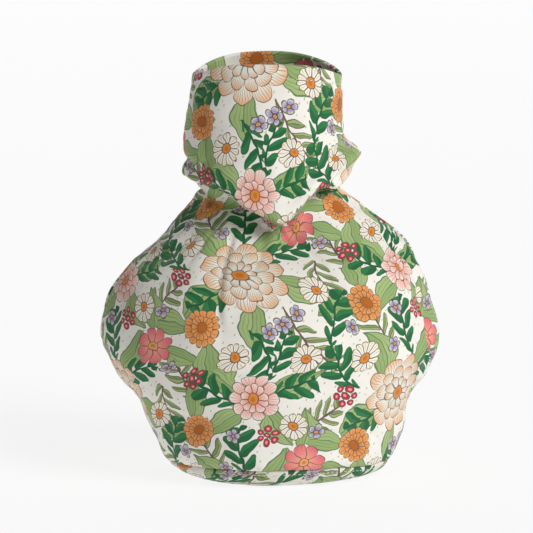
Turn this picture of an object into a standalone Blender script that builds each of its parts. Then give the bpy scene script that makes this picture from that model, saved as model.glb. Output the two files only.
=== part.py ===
"""A fitted tea cosy: a front panel and a back panel of wadded printed cotton, joined down both
sides, and a base band that turns under them to the hem on which the cosy stands.

The cosy keeps the round of a pot. It is hollow, open at the hem and at the top of its standing
collar, drawn in at the neck, and open at one side for a spout and at the other for a handle.
+X points to the handle side, -Y to the front and +Z up. The origin is on the surface below the
cosy, midway between its sides and between its front and back. The tables are in millimetres,
measured from the middle of the neck, and MM turns them into metres.
"""

import math
from collections import namedtuple

import bmesh
import bpy
import numpy as np
from mathutils import Matrix, Vector

MM = 0.001

# The cloth and its seams
CLOTH_THICKNESS = 2.5
SEAM_GAP = 0.3
PANEL_COLUMNS = 34
STEP = 1e-3  # the step, in rings and in radians, that measures the slope of the cloth
MEASURES = 72  # the number of places round a ring at which its distance to the next is taken
SHARP_ANGLE = 50  # in degrees: the cut edges of the cloth are sharper than this
FLAT_UNTIL = 12.0  # the folds grow from nothing at the floor to their full height here

# The turn runs from the left seam across the front to the right seam and on across the back
LEFT_SEAM = 0.0
RIGHT_SEAM = math.pi
FULL_TURN = 2 * math.pi

# Each ring is one line round the outside of the cloth, from the mouth in the base up to the
# rim of the collar: its height and its reach from the middle at the left, front, right and
# back. spread says how soon the height leaves the front's for the side's (a high number keeps
# the front level for longer), sag is the share of the neck line's ups and downs that the ring
# follows, and rows is the number of rows of faces below the ring.
Ring = namedtuple(
    "Ring",
    "name z_left z_front z_right z_back left front right back spread sag rows",
)
RINGS = [
    Ring("mouth", 0, 0, 0, 0, 34, 32, 44, 32, 2, 0, 0),
    Ring("contact", 0, 0, 0, 0, 46.5, 50, 61, 49, 2, 0, 1),
    Ring("turn", 2, 3.5, 2, 3.5, 53, 58, 69.5, 56.5, 3, 0, 2),
    Ring("base_seam", 7, 10.8, 7, 10.8, 59.5, 64, 74.5, 62.5, 3, 0, 2),
    Ring("foot", 24, 24, 23, 24, 68.8, 68.5, 81.5, 67, 2, 0, 3),
    Ring("low", 44, 42, 42, 42, 79, 74.5, 86, 73, 2, 0, 3),
    Ring("hip", 61, 60, 61, 60, 91.5, 79.5, 96, 78, 2, 0, 2),
    Ring("belly", 86, 84, 84, 84, 99.3, 82.5, 102, 80.5, 2, 0, 3),
    Ring("chest", 106, 107, 106, 106, 96, 80.5, 96.2, 78.5, 2, 0, 3),
    Ring("shoulder", 124.6, 126, 124.6, 126, 81.4, 71, 91, 69.5, 2, 0.05, 3),
    Ring("upper", 138, 139, 138, 140, 67, 58.5, 84.8, 58, 2, 0.2, 2),
    Ring("slope", 152.5, 151.5, 153, 154, 54, 47.5, 68, 47, 2, 0.5, 2),
    Ring("approach", 163.5, 162, 165, 164, 44.5, 40.5, 51.8, 40.5, 2, 0.85, 2),
    Ring("neck", 171, 170, 174, 171.5, 39.2, 37.5, 40.2, 37, 2, 1, 2),
    Ring("lip", 181, 183, 186, 180, 49.2, 50.5, 49.5, 47.5, 2, 0, 4),
    Ring("above_lip", 196, 196, 199, 192, 49.6, 49.5, 48.2, 48.5, 2, 0.55, 4),
    Ring("collar", 213, 212, 213, 212, 48.4, 47.5, 46, 46.5, 2, 0.15, 3),
    Ring("below_rim", 228, 233, 228, 233, 45.6, 45.5, 45.2, 45, 2, 0, 2),
    Ring("rim", 240, 250, 240, 249, 43.8, 44, 45.2, 43.5, 3, 0, 1),
]
RING_NAMES = [ring.name for ring in RINGS]
MOUTH = RING_NAMES.index("mouth")
BASE_SEAM = RING_NAMES.index("base_seam")
NECK = RING_NAMES.index("neck")
RIM = RING_NAMES.index("rim")

# The collar hangs over the drawn-in neck, and both sag to a low point at the front. turn is in
# degrees from the left seam. sag is how far the neck lies below its ring, drop how far the
# collar's lower edge lies below its own, and puff how far that edge stands out.
NeckPoint = namedtuple("NeckPoint", "turn sag drop puff")
NECK_LINE = [
    NeckPoint(0, 0.0, 0.8, 0.0),
    NeckPoint(30, 3.0, 0.0, -0.3),
    NeckPoint(49, 5.6, 1.0, 0.0),
    NeckPoint(67, 8.0, 7.7, 0.4),
    NeckPoint(79, 13.0, 16.6, 0.6),
    NeckPoint(89, 17.6, 20.6, 0.8),
    NeckPoint(104, 19.0, 22.8, 1.2),
    NeckPoint(112, 14.0, 15.5, 1.0),
    NeckPoint(123, 4.5, 5.5, 1.2),
    NeckPoint(145, -1.0, 8.5, 1.2),
    NeckPoint(165, 0.0, 4.2, 1.0),
    NeckPoint(185, 0.3, 0.0, 0.4),
    NeckPoint(230, 1.5, 2.5, 0.8),
    NeckPoint(275, -1.0, -1.0, -0.6),
    NeckPoint(320, 1.0, 2.0, 0.6),
]

# A fold is a soft ridge (height above 0) or trough (below 0) from its foot to its head, each
# given by its turn in degrees from the left seam and its height. bow is how far it swings
# round, in degrees, halfway along.
Fold = namedtuple("Fold", "name foot_turn foot_z head_turn head_z bow width height")
FOLDS = [
    Fold("handle_pleat", 163, 76, 150, 138, 6, 5.0, -2.8),
    Fold("handle_ridge", 173, 80, 162, 140, 4, 6.0, 1.8),
    Fold("front_left_trough", 74, 100, 67, 146, 0, 7.0, -1.7),
    Fold("front_left_ridge", 66, 96, 56, 144, -2, 8.0, 1.2),
    Fold("front_right_trough", 118, 98, 104, 146, 3, 7.0, -1.3),
    Fold("front_right_ridge", 131, 104, 118, 152, 2, 7.0, 1.0),
    Fold("spout_pull", 22, 92, 40, 150, -3, 7.0, -1.5),
    Fold("left_hip_dent", 4, 40, 24, 60, 0, 8.0, -1.8),
    Fold("left_foot_ridge", 16, 14, 30, 44, 4, 7.0, 1.3),
    Fold("right_hip_dent", 176, 44, 158, 60, 0, 7.0, -2.0),
    Fold("right_foot_trough", 158, 10, 150, 44, 4, 6.0, -1.6),
    Fold("low_front_ridge", 84, 16, 68, 52, 0, 9.0, 1.2),
    Fold("low_right_trough", 126, 18, 138, 58, 0, 8.0, -1.3),
    Fold("collar_left_trough", 40, 188, 33, 232, 3, 6.0, -1.3),
    Fold("collar_middle_ridge", 96, 172, 86, 206, 4, 6.0, 0.9),
    Fold("collar_right_trough", 124, 184, 131, 216, -2, 5.5, -1.3),
    Fold("left_notch", -14, 189, 26, 189, 0, 3.0, -2.4),
    Fold("flap_ridge", 119, 177, 172, 192, -4, 4.4, 2.6),
    Fold("flap_tip", 168, 191, 190, 194, 0, 4.4, 4.6),
    Fold("flap_crease", 128, 186, 176, 203, 0, 3.4, -2.6),
    Fold("back_left_trough", 318, 60, 306, 150, 4, 9.0, -1.6),
    Fold("back_middle_ridge", 268, 70, 274, 150, -3, 10.0, 1.2),
    Fold("back_right_trough", 222, 50, 234, 148, 3, 9.0, -1.7),
    Fold("collar_back_trough", 286, 184, 280, 238, 2, 7.0, -1.4),
]
FOLD_FADE = 11.0  # the length over which a fold dies away past its ends

# Gathers: the neck is drawn in, so the cloth stands there in small uneven pleats
PLEATS = 13
PLEAT_HEIGHT = 1.6
PLEAT_REACH_DOWN = 13.0
PLEAT_REACH_UP = 11.0

# The wadding leaves the whole cover a little uneven
LUMP_HEIGHT = 0.55

# Seams sink into the wadding
SEAM_SINK = 0.9
SEAM_SINK_WIDTH = 3.2

# A slot is the stretch of a side seam that is left open, bulged apart by what comes out of it
Slot = namedtuple("Slot", "name seam z_low z_high half_width lift")
SPOUT_SLOT = Slot("spout_slot", LEFT_SEAM, 72, 130, 16.0, 1.8)
HANDLE_SLOT = Slot("handle_slot", RIGHT_SEAM, 80, 166, 9.0, 0.6)
SLOTS = [SPOUT_SLOT, HANDLE_SLOT]
SLOT_ROUNDNESS = 0.8  # 1 gives a slot pointed ends, and 0.5 makes it an ellipse
SLOT_LIFT_REACH = 1.6  # how far the lift spreads, in half widths of the slot

PRINTED_COTTON = (0.80, 0.79, 0.72, 1.0)
BAND_COTTON = (0.66, 0.68, 0.58, 1.0)


def clear_scene():
    """Remove everything that the scene starts with."""
    for obj in list(bpy.data.objects):
        bpy.data.objects.remove(obj)


def round_spline(turn, turns, values):
    """A smooth closed curve of values given at these turns, which rise from 0 to under 360."""
    at = np.array([turns[-1] - 360.0, *turns, turns[0] + 360.0, turns[1] + 360.0])
    height = np.array([values[-1], *values, values[0], values[1]], dtype=float)
    slope = np.gradient(height, at)
    degrees = np.degrees(turn) % 360.0
    first = np.clip(np.searchsorted(at, degrees, side="right") - 1, 0, len(at) - 2)
    length = at[first + 1] - at[first]
    part = (degrees - at[first]) / length
    start = (2 * part**3 - 3 * part**2 + 1) * height[first]
    end = (3 * part**2 - 2 * part**3) * height[first + 1]
    leave = (part**3 - 2 * part**2 + part) * length * slope[first]
    arrive = (part**3 - part**2) * length * slope[first + 1]
    return start + end + leave + arrive


def neck_line(turn, column):
    """One column of the neck's table, all the way round."""
    values = [getattr(point, column) for point in NECK_LINE]
    return round_spline(turn, [point.turn for point in NECK_LINE], values)


def ring_points(ring, turn):
    """The points of one ring at these places round it."""
    to_left = np.cos(turn) >= 0
    to_front = np.sin(turn) >= 0
    share = np.abs(np.cos(turn)) ** ring.spread
    z_side = np.where(to_left, ring.z_left, ring.z_right)
    z_face = np.where(to_front, ring.z_front, ring.z_back)
    z = share * z_side + (1 - share) * z_face - ring.sag * neck_line(turn, "sag")
    side = np.where(to_left, ring.left, ring.right)
    face = np.where(to_front, ring.front, ring.back)
    if ring.name == "lip":
        z = z - neck_line(turn, "drop")
        side = side + neck_line(turn, "puff")
        face = face + neck_line(turn, "puff")
    return np.stack([-np.cos(turn) * side, -np.sin(turn) * face, z], axis=-1)


def knots():
    """How far each ring lies from the mouth along the cloth, on average."""
    turn = np.linspace(0, FULL_TURN, MEASURES, endpoint=False)
    rings = np.stack([ring_points(ring, turn) for ring in RINGS])
    chords = np.linalg.norm(np.diff(rings, axis=0), axis=-1).mean(axis=1)
    return np.concatenate([[0.0], np.cumsum(chords)])


KNOTS = knots()


def loft(turn, level):
    """The smooth cloth through all the rings. level counts rings from the mouth, as a fraction."""
    rings = np.stack([ring_points(ring, turn) for ring in RINGS])
    lengths = np.diff(KNOTS).reshape(-1, *[1] * (rings.ndim - 1))
    slopes = np.diff(rings, axis=0) / lengths
    slope_below = np.concatenate([slopes[:1], slopes])
    slope_above = np.concatenate([slopes, slopes[-1:]])
    below = np.concatenate([lengths[:1], lengths])
    above = np.concatenate([lengths, lengths[-1:]])
    tangents = (slope_below * above + slope_above * below) / (below + above)

    first = np.clip(np.floor(level).astype(int), 0, len(RINGS) - 2)
    part = (level - first)[..., None]
    length = np.diff(KNOTS)[first][..., None]

    def at(values, index):
        return np.take_along_axis(values, index[None, ..., None], axis=0)[0]

    start = (2 * part**3 - 3 * part**2 + 1) * at(rings, first)
    end = (3 * part**2 - 2 * part**3) * at(rings, first + 1)
    leave = (part**3 - 2 * part**2 + part) * length * at(tangents, first)
    arrive = (part**3 - part**2) * length * at(tangents, first + 1)
    return start + end + leave + arrive


def fold_height(turn, points):
    """The height of all the folds together at these places."""
    reach = np.hypot(points[..., 0], points[..., 1])
    height = np.zeros_like(reach)
    for fold in FOLDS:
        run = math.radians(fold.head_turn - fold.foot_turn) * reach
        rise = fold.head_z - fold.foot_z
        length = np.hypot(run, rise)
        from_foot = turn - math.radians(fold.foot_turn)
        round_it = ((from_foot + math.pi) % FULL_TURN - math.pi) * reach
        up_it = points[..., 2] - fold.foot_z
        along = (round_it * run + up_it * rise) / length
        share = np.clip(along / length, 0, 1)
        bow = math.radians(fold.bow) * reach * 4 * share * (1 - share)
        across = (round_it * rise - up_it * run) / length - bow
        past = np.maximum(-along, along - length)
        fade = np.exp(-((np.maximum(past, 0) / FOLD_FADE) ** 2))
        height += fold.height * fade * np.exp(-((across / fold.width) ** 2))
    return height


def along_from(ring, level):
    """How far these levels lie above a ring, along the cloth."""
    return np.interp(level, np.arange(len(RINGS)), KNOTS) - KNOTS[ring]


def pleat_height(turn, level):
    """The uneven pleats of the gathered neck."""
    along = along_from(NECK, level)
    reach = np.where(along < 0, PLEAT_REACH_DOWN, PLEAT_REACH_UP)
    swing = 1.1 * np.sin(3 * turn + 0.7) + 0.8 * np.sin(5 * turn + 2.0)
    depth = 0.75 + 0.25 * np.sin(2 * turn + 0.4)
    return PLEAT_HEIGHT * depth * np.exp(-((along / reach) ** 2)) * np.sin(PLEATS * turn + swing)


def lump_height(turn, level):
    """Slow swellings of the wadding."""
    wide = np.sin(3 * turn + 1.3 * level) * np.sin(1.7 * level + 0.6 + np.sin(2 * turn))
    small = np.sin(7 * turn - 1.9 * level + 0.5) * np.sin(2.6 * level + 1.1)
    return LUMP_HEIGHT * (wide + 0.6 * small)


def seam_sink(turn, level, points):
    """How far the cloth sinks along the side seams and the base seam."""
    to_side = np.abs(np.sin(turn)) * np.hypot(points[..., 0], points[..., 1])
    side = np.exp(-((to_side / SEAM_SINK_WIDTH) ** 2)) * (level > BASE_SEAM)
    base = np.exp(-((along_from(BASE_SEAM, level) / SEAM_SINK_WIDTH) ** 2))
    return SEAM_SINK * np.maximum(side, base)


def slot_share(slot, z):
    """How far a slot is open at these heights, from 1 at its middle to 0 past its ends."""
    middle = (slot.z_low + slot.z_high) / 2
    half = (slot.z_high - slot.z_low) / 2
    return np.clip(1 - ((z - middle) / half) ** 2, 0, 1) ** SLOT_ROUNDNESS


def slot_lift(points):
    """How far the edges of the slots stand off, pushed out by what comes through them."""
    height = np.zeros_like(points[..., 2])
    for slot in SLOTS:
        near = np.exp(-((points[..., 1] / (SLOT_LIFT_REACH * slot.half_width)) ** 2))
        on_side = points[..., 0] * math.cos(slot.seam) < 0
        height += slot.lift * near * on_side * slot_share(slot, points[..., 2])
    return height


def slope_of(surface, turn, level):
    """The outward normal of a surface that is given as a function."""
    level_low = np.maximum(level - STEP, 0)
    level_high = np.minimum(level + STEP, len(RINGS) - 1)
    round_it = surface(turn + STEP, level) - surface(turn - STEP, level)
    up_it = surface(turn, level_high) - surface(turn, level_low)
    normal = np.cross(round_it, up_it)
    return normal / np.linalg.norm(normal, axis=-1, keepdims=True)


def outside(turn, level):
    """The outer face of the cloth, with its folds, pleats, lumps and seams."""
    base = loft(turn, level)
    height = fold_height(turn, base) + pleat_height(turn, level) + lump_height(turn, level)
    height += slot_lift(base) - seam_sink(turn, level, base)
    height *= np.clip(base[..., 2] / FLAT_UNTIL, 0, 1)
    place = base + slope_of(loft, turn, level) * height[..., None]
    place[..., 2] = np.maximum(place[..., 2], 0)
    return place


def both_faces(turn, level):
    """The outer and inner faces of the cloth at these places."""
    outer = outside(turn, level)
    inner = outer - CLOTH_THICKNESS * slope_of(outside, turn, level)
    return outer, inner


def levels_between(low, high):
    """The levels of the rows from one ring up to another, by each ring's own count."""
    steps = [np.linspace(k - 1, k, RINGS[k].rows, endpoint=False) for k in range(low + 1, high + 1)]
    return np.append(np.concatenate(steps), high)


def panel_levels():
    """A panel's rows, from just above the base seam to the rim."""
    levels = levels_between(BASE_SEAM, RIM)
    levels[0] += SEAM_GAP / 2 / (KNOTS[BASE_SEAM + 1] - KNOTS[BASE_SEAM])
    return levels


def band_levels():
    """The base band's rows, from the mouth to just below the base seam."""
    levels = levels_between(MOUTH, BASE_SEAM)
    levels[-1] -= SEAM_GAP / 2 / (KNOTS[BASE_SEAM] - KNOTS[BASE_SEAM - 1])
    return levels


def side_edge(slot, inward, level):
    """The turns of a panel's side edge, which stands back from its seam where the slot opens."""
    at_seam = loft(np.full_like(level, slot.seam), level)
    beside = loft(np.full_like(level, slot.seam + inward * STEP), level)
    per_turn = np.abs(beside[:, 1] - at_seam[:, 1]) / STEP
    away = SEAM_GAP / 2 + slot.half_width * slot_share(slot, at_seam[:, 2])
    return inward * np.arcsin(np.clip(away / per_turn, 0, 1))


def panel_grid(first_slot, last_slot, first_turn, last_turn):
    """The turns and levels of a panel's points, from one side edge to the other."""
    level = panel_levels()
    first = first_turn + side_edge(first_slot, 1, level)
    last = last_turn + side_edge(last_slot, -1, level)
    share = np.linspace(0, 1, PANEL_COLUMNS + 1)
    turns = first[:, None] + share * (last - first)[:, None]
    return turns, np.repeat(level[:, None], len(share), axis=1)


def add_skin(mesh, places, closed):
    """Add the points and quads of one face of the cloth, and return the points by row."""
    rows = [[mesh.verts.new(place * MM) for place in row] for row in places]
    columns = len(rows[0])
    for low, high in zip(rows, rows[1:]):
        for k in range(columns if closed else columns - 1):
            right = (k + 1) % columns
            mesh.faces.new((low[k], low[right], high[right], high[k]))
    return rows


def add_edge(mesh, outer_line, inner_line, closed):
    """Close the cloth's cut edge between its two faces."""
    count = len(outer_line)
    for k in range(count if closed else count - 1):
        ahead = (k + 1) % count
        mesh.faces.new((outer_line[k], outer_line[ahead], inner_line[ahead], inner_line[k]))


def cloth_piece(name, turn, level, closed, material):
    """One piece of cloth as a closed solid: two faces and the cut edges between them."""
    outer, inner = both_faces(turn, level)
    mesh = bmesh.new()
    front_rows = add_skin(mesh, outer, closed)
    back_rows = add_skin(mesh, inner, closed)
    add_edge(mesh, front_rows[0], back_rows[0], closed)
    add_edge(mesh, front_rows[-1], back_rows[-1], closed)
    if not closed:
        add_edge(mesh, [row[0] for row in front_rows], [row[0] for row in back_rows], False)
        add_edge(mesh, [row[-1] for row in front_rows], [row[-1] for row in back_rows], False)
    bmesh.ops.recalc_face_normals(mesh, faces=mesh.faces[:])
    data = bpy.data.meshes.new(name)
    mesh.to_mesh(data)
    mesh.free()
    data.shade_smooth()
    data.set_sharp_from_angle(angle=math.radians(SHARP_ANGLE))
    data.materials.append(material)
    piece = bpy.data.objects.new(name, data)
    bpy.context.scene.collection.objects.link(piece)
    return piece


def cotton(name, colour):
    """Matt printed cotton over wadding."""
    material = bpy.data.materials.new(name)
    material.use_nodes = True
    shader = material.node_tree.nodes["Principled BSDF"]
    shader.inputs["Base Color"].default_value = colour
    shader.inputs["Roughness"].default_value = 0.85
    shader.inputs["Metallic"].default_value = 0.0
    return material


def front_panel(material):
    """The front of the cosy, from the base seam to the rim of the collar."""
    turns, levels = panel_grid(SPOUT_SLOT, HANDLE_SLOT, LEFT_SEAM, RIGHT_SEAM)
    return cloth_piece("front_panel", turns, levels, False, material)


def back_panel(material):
    """The back of the cosy, which meets the front at both side seams."""
    turns, levels = panel_grid(HANDLE_SLOT, SPOUT_SLOT, RIGHT_SEAM, FULL_TURN)
    return cloth_piece("back_panel", turns, levels, False, material)


def base_band(material):
    """The band that turns under from the base seam to the hem round the open mouth."""
    turn = np.linspace(0, FULL_TURN, 2 * PANEL_COLUMNS, endpoint=False)
    turns, levels = np.meshgrid(turn, band_levels())
    return cloth_piece("base_band", turns, levels, True, material)


def centre(pieces):
    """Move the pieces together, so that the origin is midway between their sides."""
    corners = [vertex.co for piece in pieces for vertex in piece.data.vertices]
    low = Vector(min(corner[axis] for corner in corners) for axis in range(3))
    high = Vector(max(corner[axis] for corner in corners) for axis in range(3))
    middle = (low + high) / 2
    for piece in pieces:
        piece.data.transform(Matrix.Translation((-middle.x, -middle.y, 0)))


def main():
    clear_scene()
    printed = cotton("printed_cotton", PRINTED_COTTON)
    band = cotton("band_cotton", BAND_COTTON)
    centre([front_panel(printed), back_panel(printed), base_band(band)])


main()
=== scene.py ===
"""Looks of a fitted tea cosy: fine cloth on the folds of its solids, printed with garden flowers.

The cosy is wadded cotton, drawn in at the neck under a standing collar. Each piece of cloth is
worked out from the same rings and folds as its solid, at a finer pitch and with the small
creases of the real thing. The print is drawn by shader nodes on the flat cloth, in a half-drop
repeat, so it runs on over the folds as ink does.
"""

import logging
import math
from collections.abc import Callable
from dataclasses import dataclass
from enum import Enum
from functools import partial
from typing import Any, NamedTuple

import bpy
import numpy as np
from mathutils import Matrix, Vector


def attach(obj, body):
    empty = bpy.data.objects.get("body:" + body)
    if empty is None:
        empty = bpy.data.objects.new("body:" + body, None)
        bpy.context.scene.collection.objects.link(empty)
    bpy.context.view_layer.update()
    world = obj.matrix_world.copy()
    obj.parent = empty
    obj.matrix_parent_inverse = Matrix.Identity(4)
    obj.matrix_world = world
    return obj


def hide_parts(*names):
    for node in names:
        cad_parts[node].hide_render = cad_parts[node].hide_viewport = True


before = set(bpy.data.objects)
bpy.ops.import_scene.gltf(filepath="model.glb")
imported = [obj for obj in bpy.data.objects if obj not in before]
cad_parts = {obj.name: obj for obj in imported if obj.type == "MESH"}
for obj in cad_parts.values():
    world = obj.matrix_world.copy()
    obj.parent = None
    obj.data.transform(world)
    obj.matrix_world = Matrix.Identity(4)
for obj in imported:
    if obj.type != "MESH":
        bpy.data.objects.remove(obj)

MM = 0.001
FULL_TURN = 2 * math.pi
BUMP_DEPTH = 0.0001
WHITE = (1.0, 1.0, 1.0, 1.0)
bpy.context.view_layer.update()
log = logging.getLogger("tea_cosy")


class Ring(NamedTuple):
    """One line round the outside of the cloth: its heights and its reach, in millimetres."""

    name: str
    z_left: float
    z_front: float
    z_right: float
    z_back: float
    left: float
    front: float
    right: float
    back: float
    spread: float
    sag: float


class NeckPoint(NamedTuple):
    """How the neck and the collar's lower edge run at one turn from the left seam."""

    turn: float
    sag: float
    drop: float
    puff: float


class Fold(NamedTuple):
    """A soft ridge (height above 0) or trough (below 0) from its foot to its head."""

    name: str
    foot_turn: float
    foot_z: float
    head_turn: float
    head_z: float
    bow: float
    width: float
    height: float
    fade: float = 11.0


class LinePoint(NamedTuple):
    """One point of a line on the cloth: its turn in degrees and its height."""

    turn: float
    z: float


class Slot(NamedTuple):
    """A stretch of a side seam that is left open."""

    name: str
    seam: float
    z_low: float
    z_high: float
    half_width: float
    lift: float


RINGS = [
    Ring("mouth", 0, 0, 0, 0, 34, 32, 44, 32, 2, 0),
    Ring("contact", 0, 0, 0, 0, 46.5, 50, 61, 49, 2, 0),
    Ring("turn", 2, 3.5, 2, 3.5, 53, 58, 69.5, 56.5, 3, 0),
    Ring("base_seam", 7, 10.8, 7, 10.8, 59.5, 64, 74.5, 62.5, 3, 0),
    Ring("foot", 24, 24, 23, 24, 68.8, 68.5, 81.5, 67, 2, 0),
    Ring("low", 44, 42, 42, 42, 79, 74.5, 86, 73, 2, 0),
    Ring("hip", 61, 60, 61, 60, 91.5, 79.5, 96, 78, 2, 0),
    Ring("belly", 86, 84, 84, 84, 99.3, 82.5, 102, 80.5, 2, 0),
    Ring("chest", 106, 107, 106, 106, 96, 80.5, 96.2, 78.5, 2, 0),
    Ring("shoulder", 124.6, 126, 124.6, 126, 81.4, 71, 91, 69.5, 2, 0.05),
    Ring("upper", 138, 139, 138, 140, 67, 58.5, 84.8, 58, 2, 0.2),
    Ring("slope", 152.5, 151.5, 153, 154, 54, 47.5, 68, 47, 2, 0.5),
    Ring("approach", 163.5, 162, 165, 164, 44.5, 40.5, 51.8, 40.5, 2, 0.85),
    Ring("neck", 171, 170, 174, 171.5, 39.2, 37.5, 40.2, 37, 2, 1),
    Ring("lip", 181, 183, 186, 180, 49.2, 50.5, 49.5, 47.5, 2, 0),
    Ring("above_lip", 196, 196, 199, 192, 49.6, 49.5, 48.2, 48.5, 2, 0.55),
    Ring("collar", 213, 212, 213, 212, 48.4, 47.5, 46, 46.5, 2, 0.15),
    Ring("below_rim", 228, 233, 228, 233, 45.6, 45.5, 45.2, 45, 2, 0),
    Ring("rim", 240, 250, 240, 249, 43.8, 44, 45.2, 43.5, 3, 0),
]
RING_NAMES = [ring.name for ring in RINGS]
MOUTH = RING_NAMES.index("mouth")
BASE_SEAM = RING_NAMES.index("base_seam")
NECK = RING_NAMES.index("neck")
LIP = RING_NAMES.index("lip")
RIM = RING_NAMES.index("rim")

NECK_LINE = [
    NeckPoint(0, 0.0, 0.8, 0.0),
    NeckPoint(30, 3.0, 0.0, -0.3),
    NeckPoint(49, 5.6, 1.0, 0.0),
    NeckPoint(67, 8.0, 7.7, 0.4),
    NeckPoint(79, 13.0, 16.6, 0.6),
    NeckPoint(89, 17.6, 20.6, 0.8),
    NeckPoint(104, 19.0, 22.8, 1.2),
    NeckPoint(112, 14.0, 15.5, 1.0),
    NeckPoint(123, 4.5, 5.5, 1.2),
    NeckPoint(145, -1.0, 8.5, 1.2),
    NeckPoint(165, 0.0, 4.2, 1.0),
    NeckPoint(185, 0.3, 0.0, 0.4),
    NeckPoint(230, 1.5, 2.5, 0.8),
    NeckPoint(275, -1.0, -1.0, -0.6),
    NeckPoint(320, 1.0, 2.0, 0.6),
]

FOLDS = [
    Fold("handle_pleat", 163, 76, 150, 138, 6, 5.0, -2.8),
    Fold("handle_ridge", 173, 80, 162, 140, 4, 6.0, 1.8),
    Fold("front_left_trough", 74, 100, 67, 146, 0, 7.0, -1.7),
    Fold("front_left_ridge", 66, 96, 56, 144, -2, 8.0, 1.2),
    Fold("front_right_trough", 118, 98, 104, 146, 3, 7.0, -1.3),
    Fold("front_right_ridge", 131, 104, 118, 152, 2, 7.0, 1.0),
    Fold("spout_pull", 22, 92, 40, 150, -3, 7.0, -1.5),
    Fold("left_hip_dent", 4, 40, 24, 60, 0, 8.0, -1.8),
    Fold("left_foot_ridge", 16, 14, 30, 44, 4, 7.0, 1.3),
    Fold("right_hip_dent", 176, 44, 158, 60, 0, 7.0, -2.0),
    Fold("right_foot_trough", 158, 10, 150, 44, 4, 6.0, -1.6),
    Fold("low_front_ridge", 84, 16, 68, 52, 0, 9.0, 1.2),
    Fold("low_right_trough", 126, 18, 138, 58, 0, 8.0, -1.3),
    Fold("collar_left_trough", 40, 188, 33, 232, 3, 6.0, -1.3),
    Fold("collar_middle_ridge", 96, 172, 86, 206, 4, 6.0, 0.9),
    Fold("collar_right_trough", 124, 184, 131, 216, -2, 5.5, -1.3),
    Fold("left_notch", -14, 189, 26, 189, 0, 3.0, -2.4),
    Fold("flap_ridge", 119, 177, 172, 192, -4, 4.4, 2.6),
    Fold("flap_tip", 168, 191, 190, 194, 0, 4.4, 4.6),
    Fold("flap_crease", 128, 186, 176, 203, 0, 3.4, -2.6),
    # These two lie at the neck's left and are too fine for the solids, which leave them out
    Fold("neck_hollow_left", 18, 175, 78, 160, 0, 3.4, -3.6),
    Fold("collar_edge_left", 16, 183, 74, 169, 0, 3.2, 1.3),
    Fold("back_left_trough", 318, 60, 306, 150, 4, 9.0, -1.6),
    Fold("back_middle_ridge", 268, 70, 274, 150, -3, 10.0, 1.2),
    Fold("back_right_trough", 222, 50, 234, 148, 3, 9.0, -1.7),
    Fold("collar_back_trough", 286, 184, 280, 238, 2, 7.0, -1.4),
]

# Narrow creases and small pleats of the outer face, which the solids leave out
CREASES = [
    Fold("flap_second_fold", 136, 180, 168, 188, 2, 1.6, -0.7, 5),
    Fold("tip_pleat_left", 94.5, 148, 97, 159, 0, 1.5, 0.7, 4),
    Fold("tip_tuck_left", 97.2, 147, 98.8, 160, 0, 1.3, -1.0, 4),
    Fold("tip_pleat_middle", 100, 147, 100.4, 160, 0, 1.4, 0.8, 4),
    Fold("tip_tuck_right", 102.6, 147, 102, 160, 0, 1.3, -1.0, 4),
    Fold("tip_pleat_right", 105.5, 148, 103.6, 159, 0, 1.5, 0.7, 4),
    Fold("front_left_crease", 72.5, 110, 67.5, 148, 0, 1.9, -1.0, 8),
    Fold("front_left_lap", 75.3, 108, 70.2, 147, 0, 2.8, 0.7, 9),
    Fold("front_right_crease", 114, 116, 107, 146, 2, 2.0, -0.7, 9),
    Fold("neck_pull_far_left", 26, 150, 33, 166, 1, 1.8, -0.9, 6),
    Fold("neck_pull_left", 52, 140, 55, 162, -1, 1.8, -0.9, 7),
    Fold("neck_pull_middle", 85, 134, 88, 150, 1, 1.7, -0.7, 6),
    Fold("neck_pull_right", 118, 142, 112, 158, 1, 1.7, -0.8, 6),
    Fold("neck_pull_far_right", 142, 150, 137, 170, -1, 1.9, -0.9, 7),
    Fold("spout_crease_high", 13, 117, 36, 141, -3, 2.2, -0.9, 8),
    Fold("spout_crease_low", 11, 78, 33, 63, 3, 2.4, -0.9, 9),
    Fold("left_hip_crease", 6, 47, 30, 57, 2, 2.2, -0.9, 9),
    Fold("left_foot_crease", 24, 13, 40, 34, 3, 2.2, -0.6, 8),
    Fold("right_hip_crease", 175, 51, 156, 64, -2, 2.2, -1.0, 8),
    Fold("right_foot_crease", 150, 12, 139, 30, 2, 2.2, -0.6, 8),
    Fold("collar_fall_left", 50, 176, 41, 203, 0, 2.1, -0.7, 7),
    Fold("collar_fall_right", 111, 177, 119, 200, 2, 2.1, -0.7, 7),
    Fold("collar_left_crease", 14, 184, 40, 191, 4, 1.9, -0.9, 6),
    Fold("collar_rim_left", 24, 226, 36, 243, 0, 2.4, -0.5, 6),
    Fold("collar_rim_right", 148, 224, 139, 242, 0, 2.4, -0.5, 6),
    Fold("back_left_crease", 311, 104, 301, 150, 2, 2.0, -0.9, 9),
    Fold("back_right_crease", 231, 96, 240, 148, -2, 2.0, -0.9, 9),
    Fold("back_neck_pull", 268, 140, 264, 163, 1, 1.8, -0.9, 7),
    Fold("back_neck_pull_left", 290, 148, 285, 166, -1, 1.8, -0.8, 6),
    Fold("back_neck_pull_right", 246, 146, 250, 166, 1, 1.8, -0.8, 6),
    Fold("back_low_crease", 282, 18, 290, 40, 0, 2.4, -0.6, 9),
    Fold("back_collar_crease", 262, 182, 268, 214, 2, 2.1, -0.8, 8),
]

# The pleat laps over the cloth on the handle's side of it, from its foot to its head
PLEAT_LINE = [
    LinePoint(168, 73), LinePoint(158, 84), LinePoint(160, 97), LinePoint(162.5, 109.5),
    LinePoint(163, 118), LinePoint(161, 128), LinePoint(153, 138),
]

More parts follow.
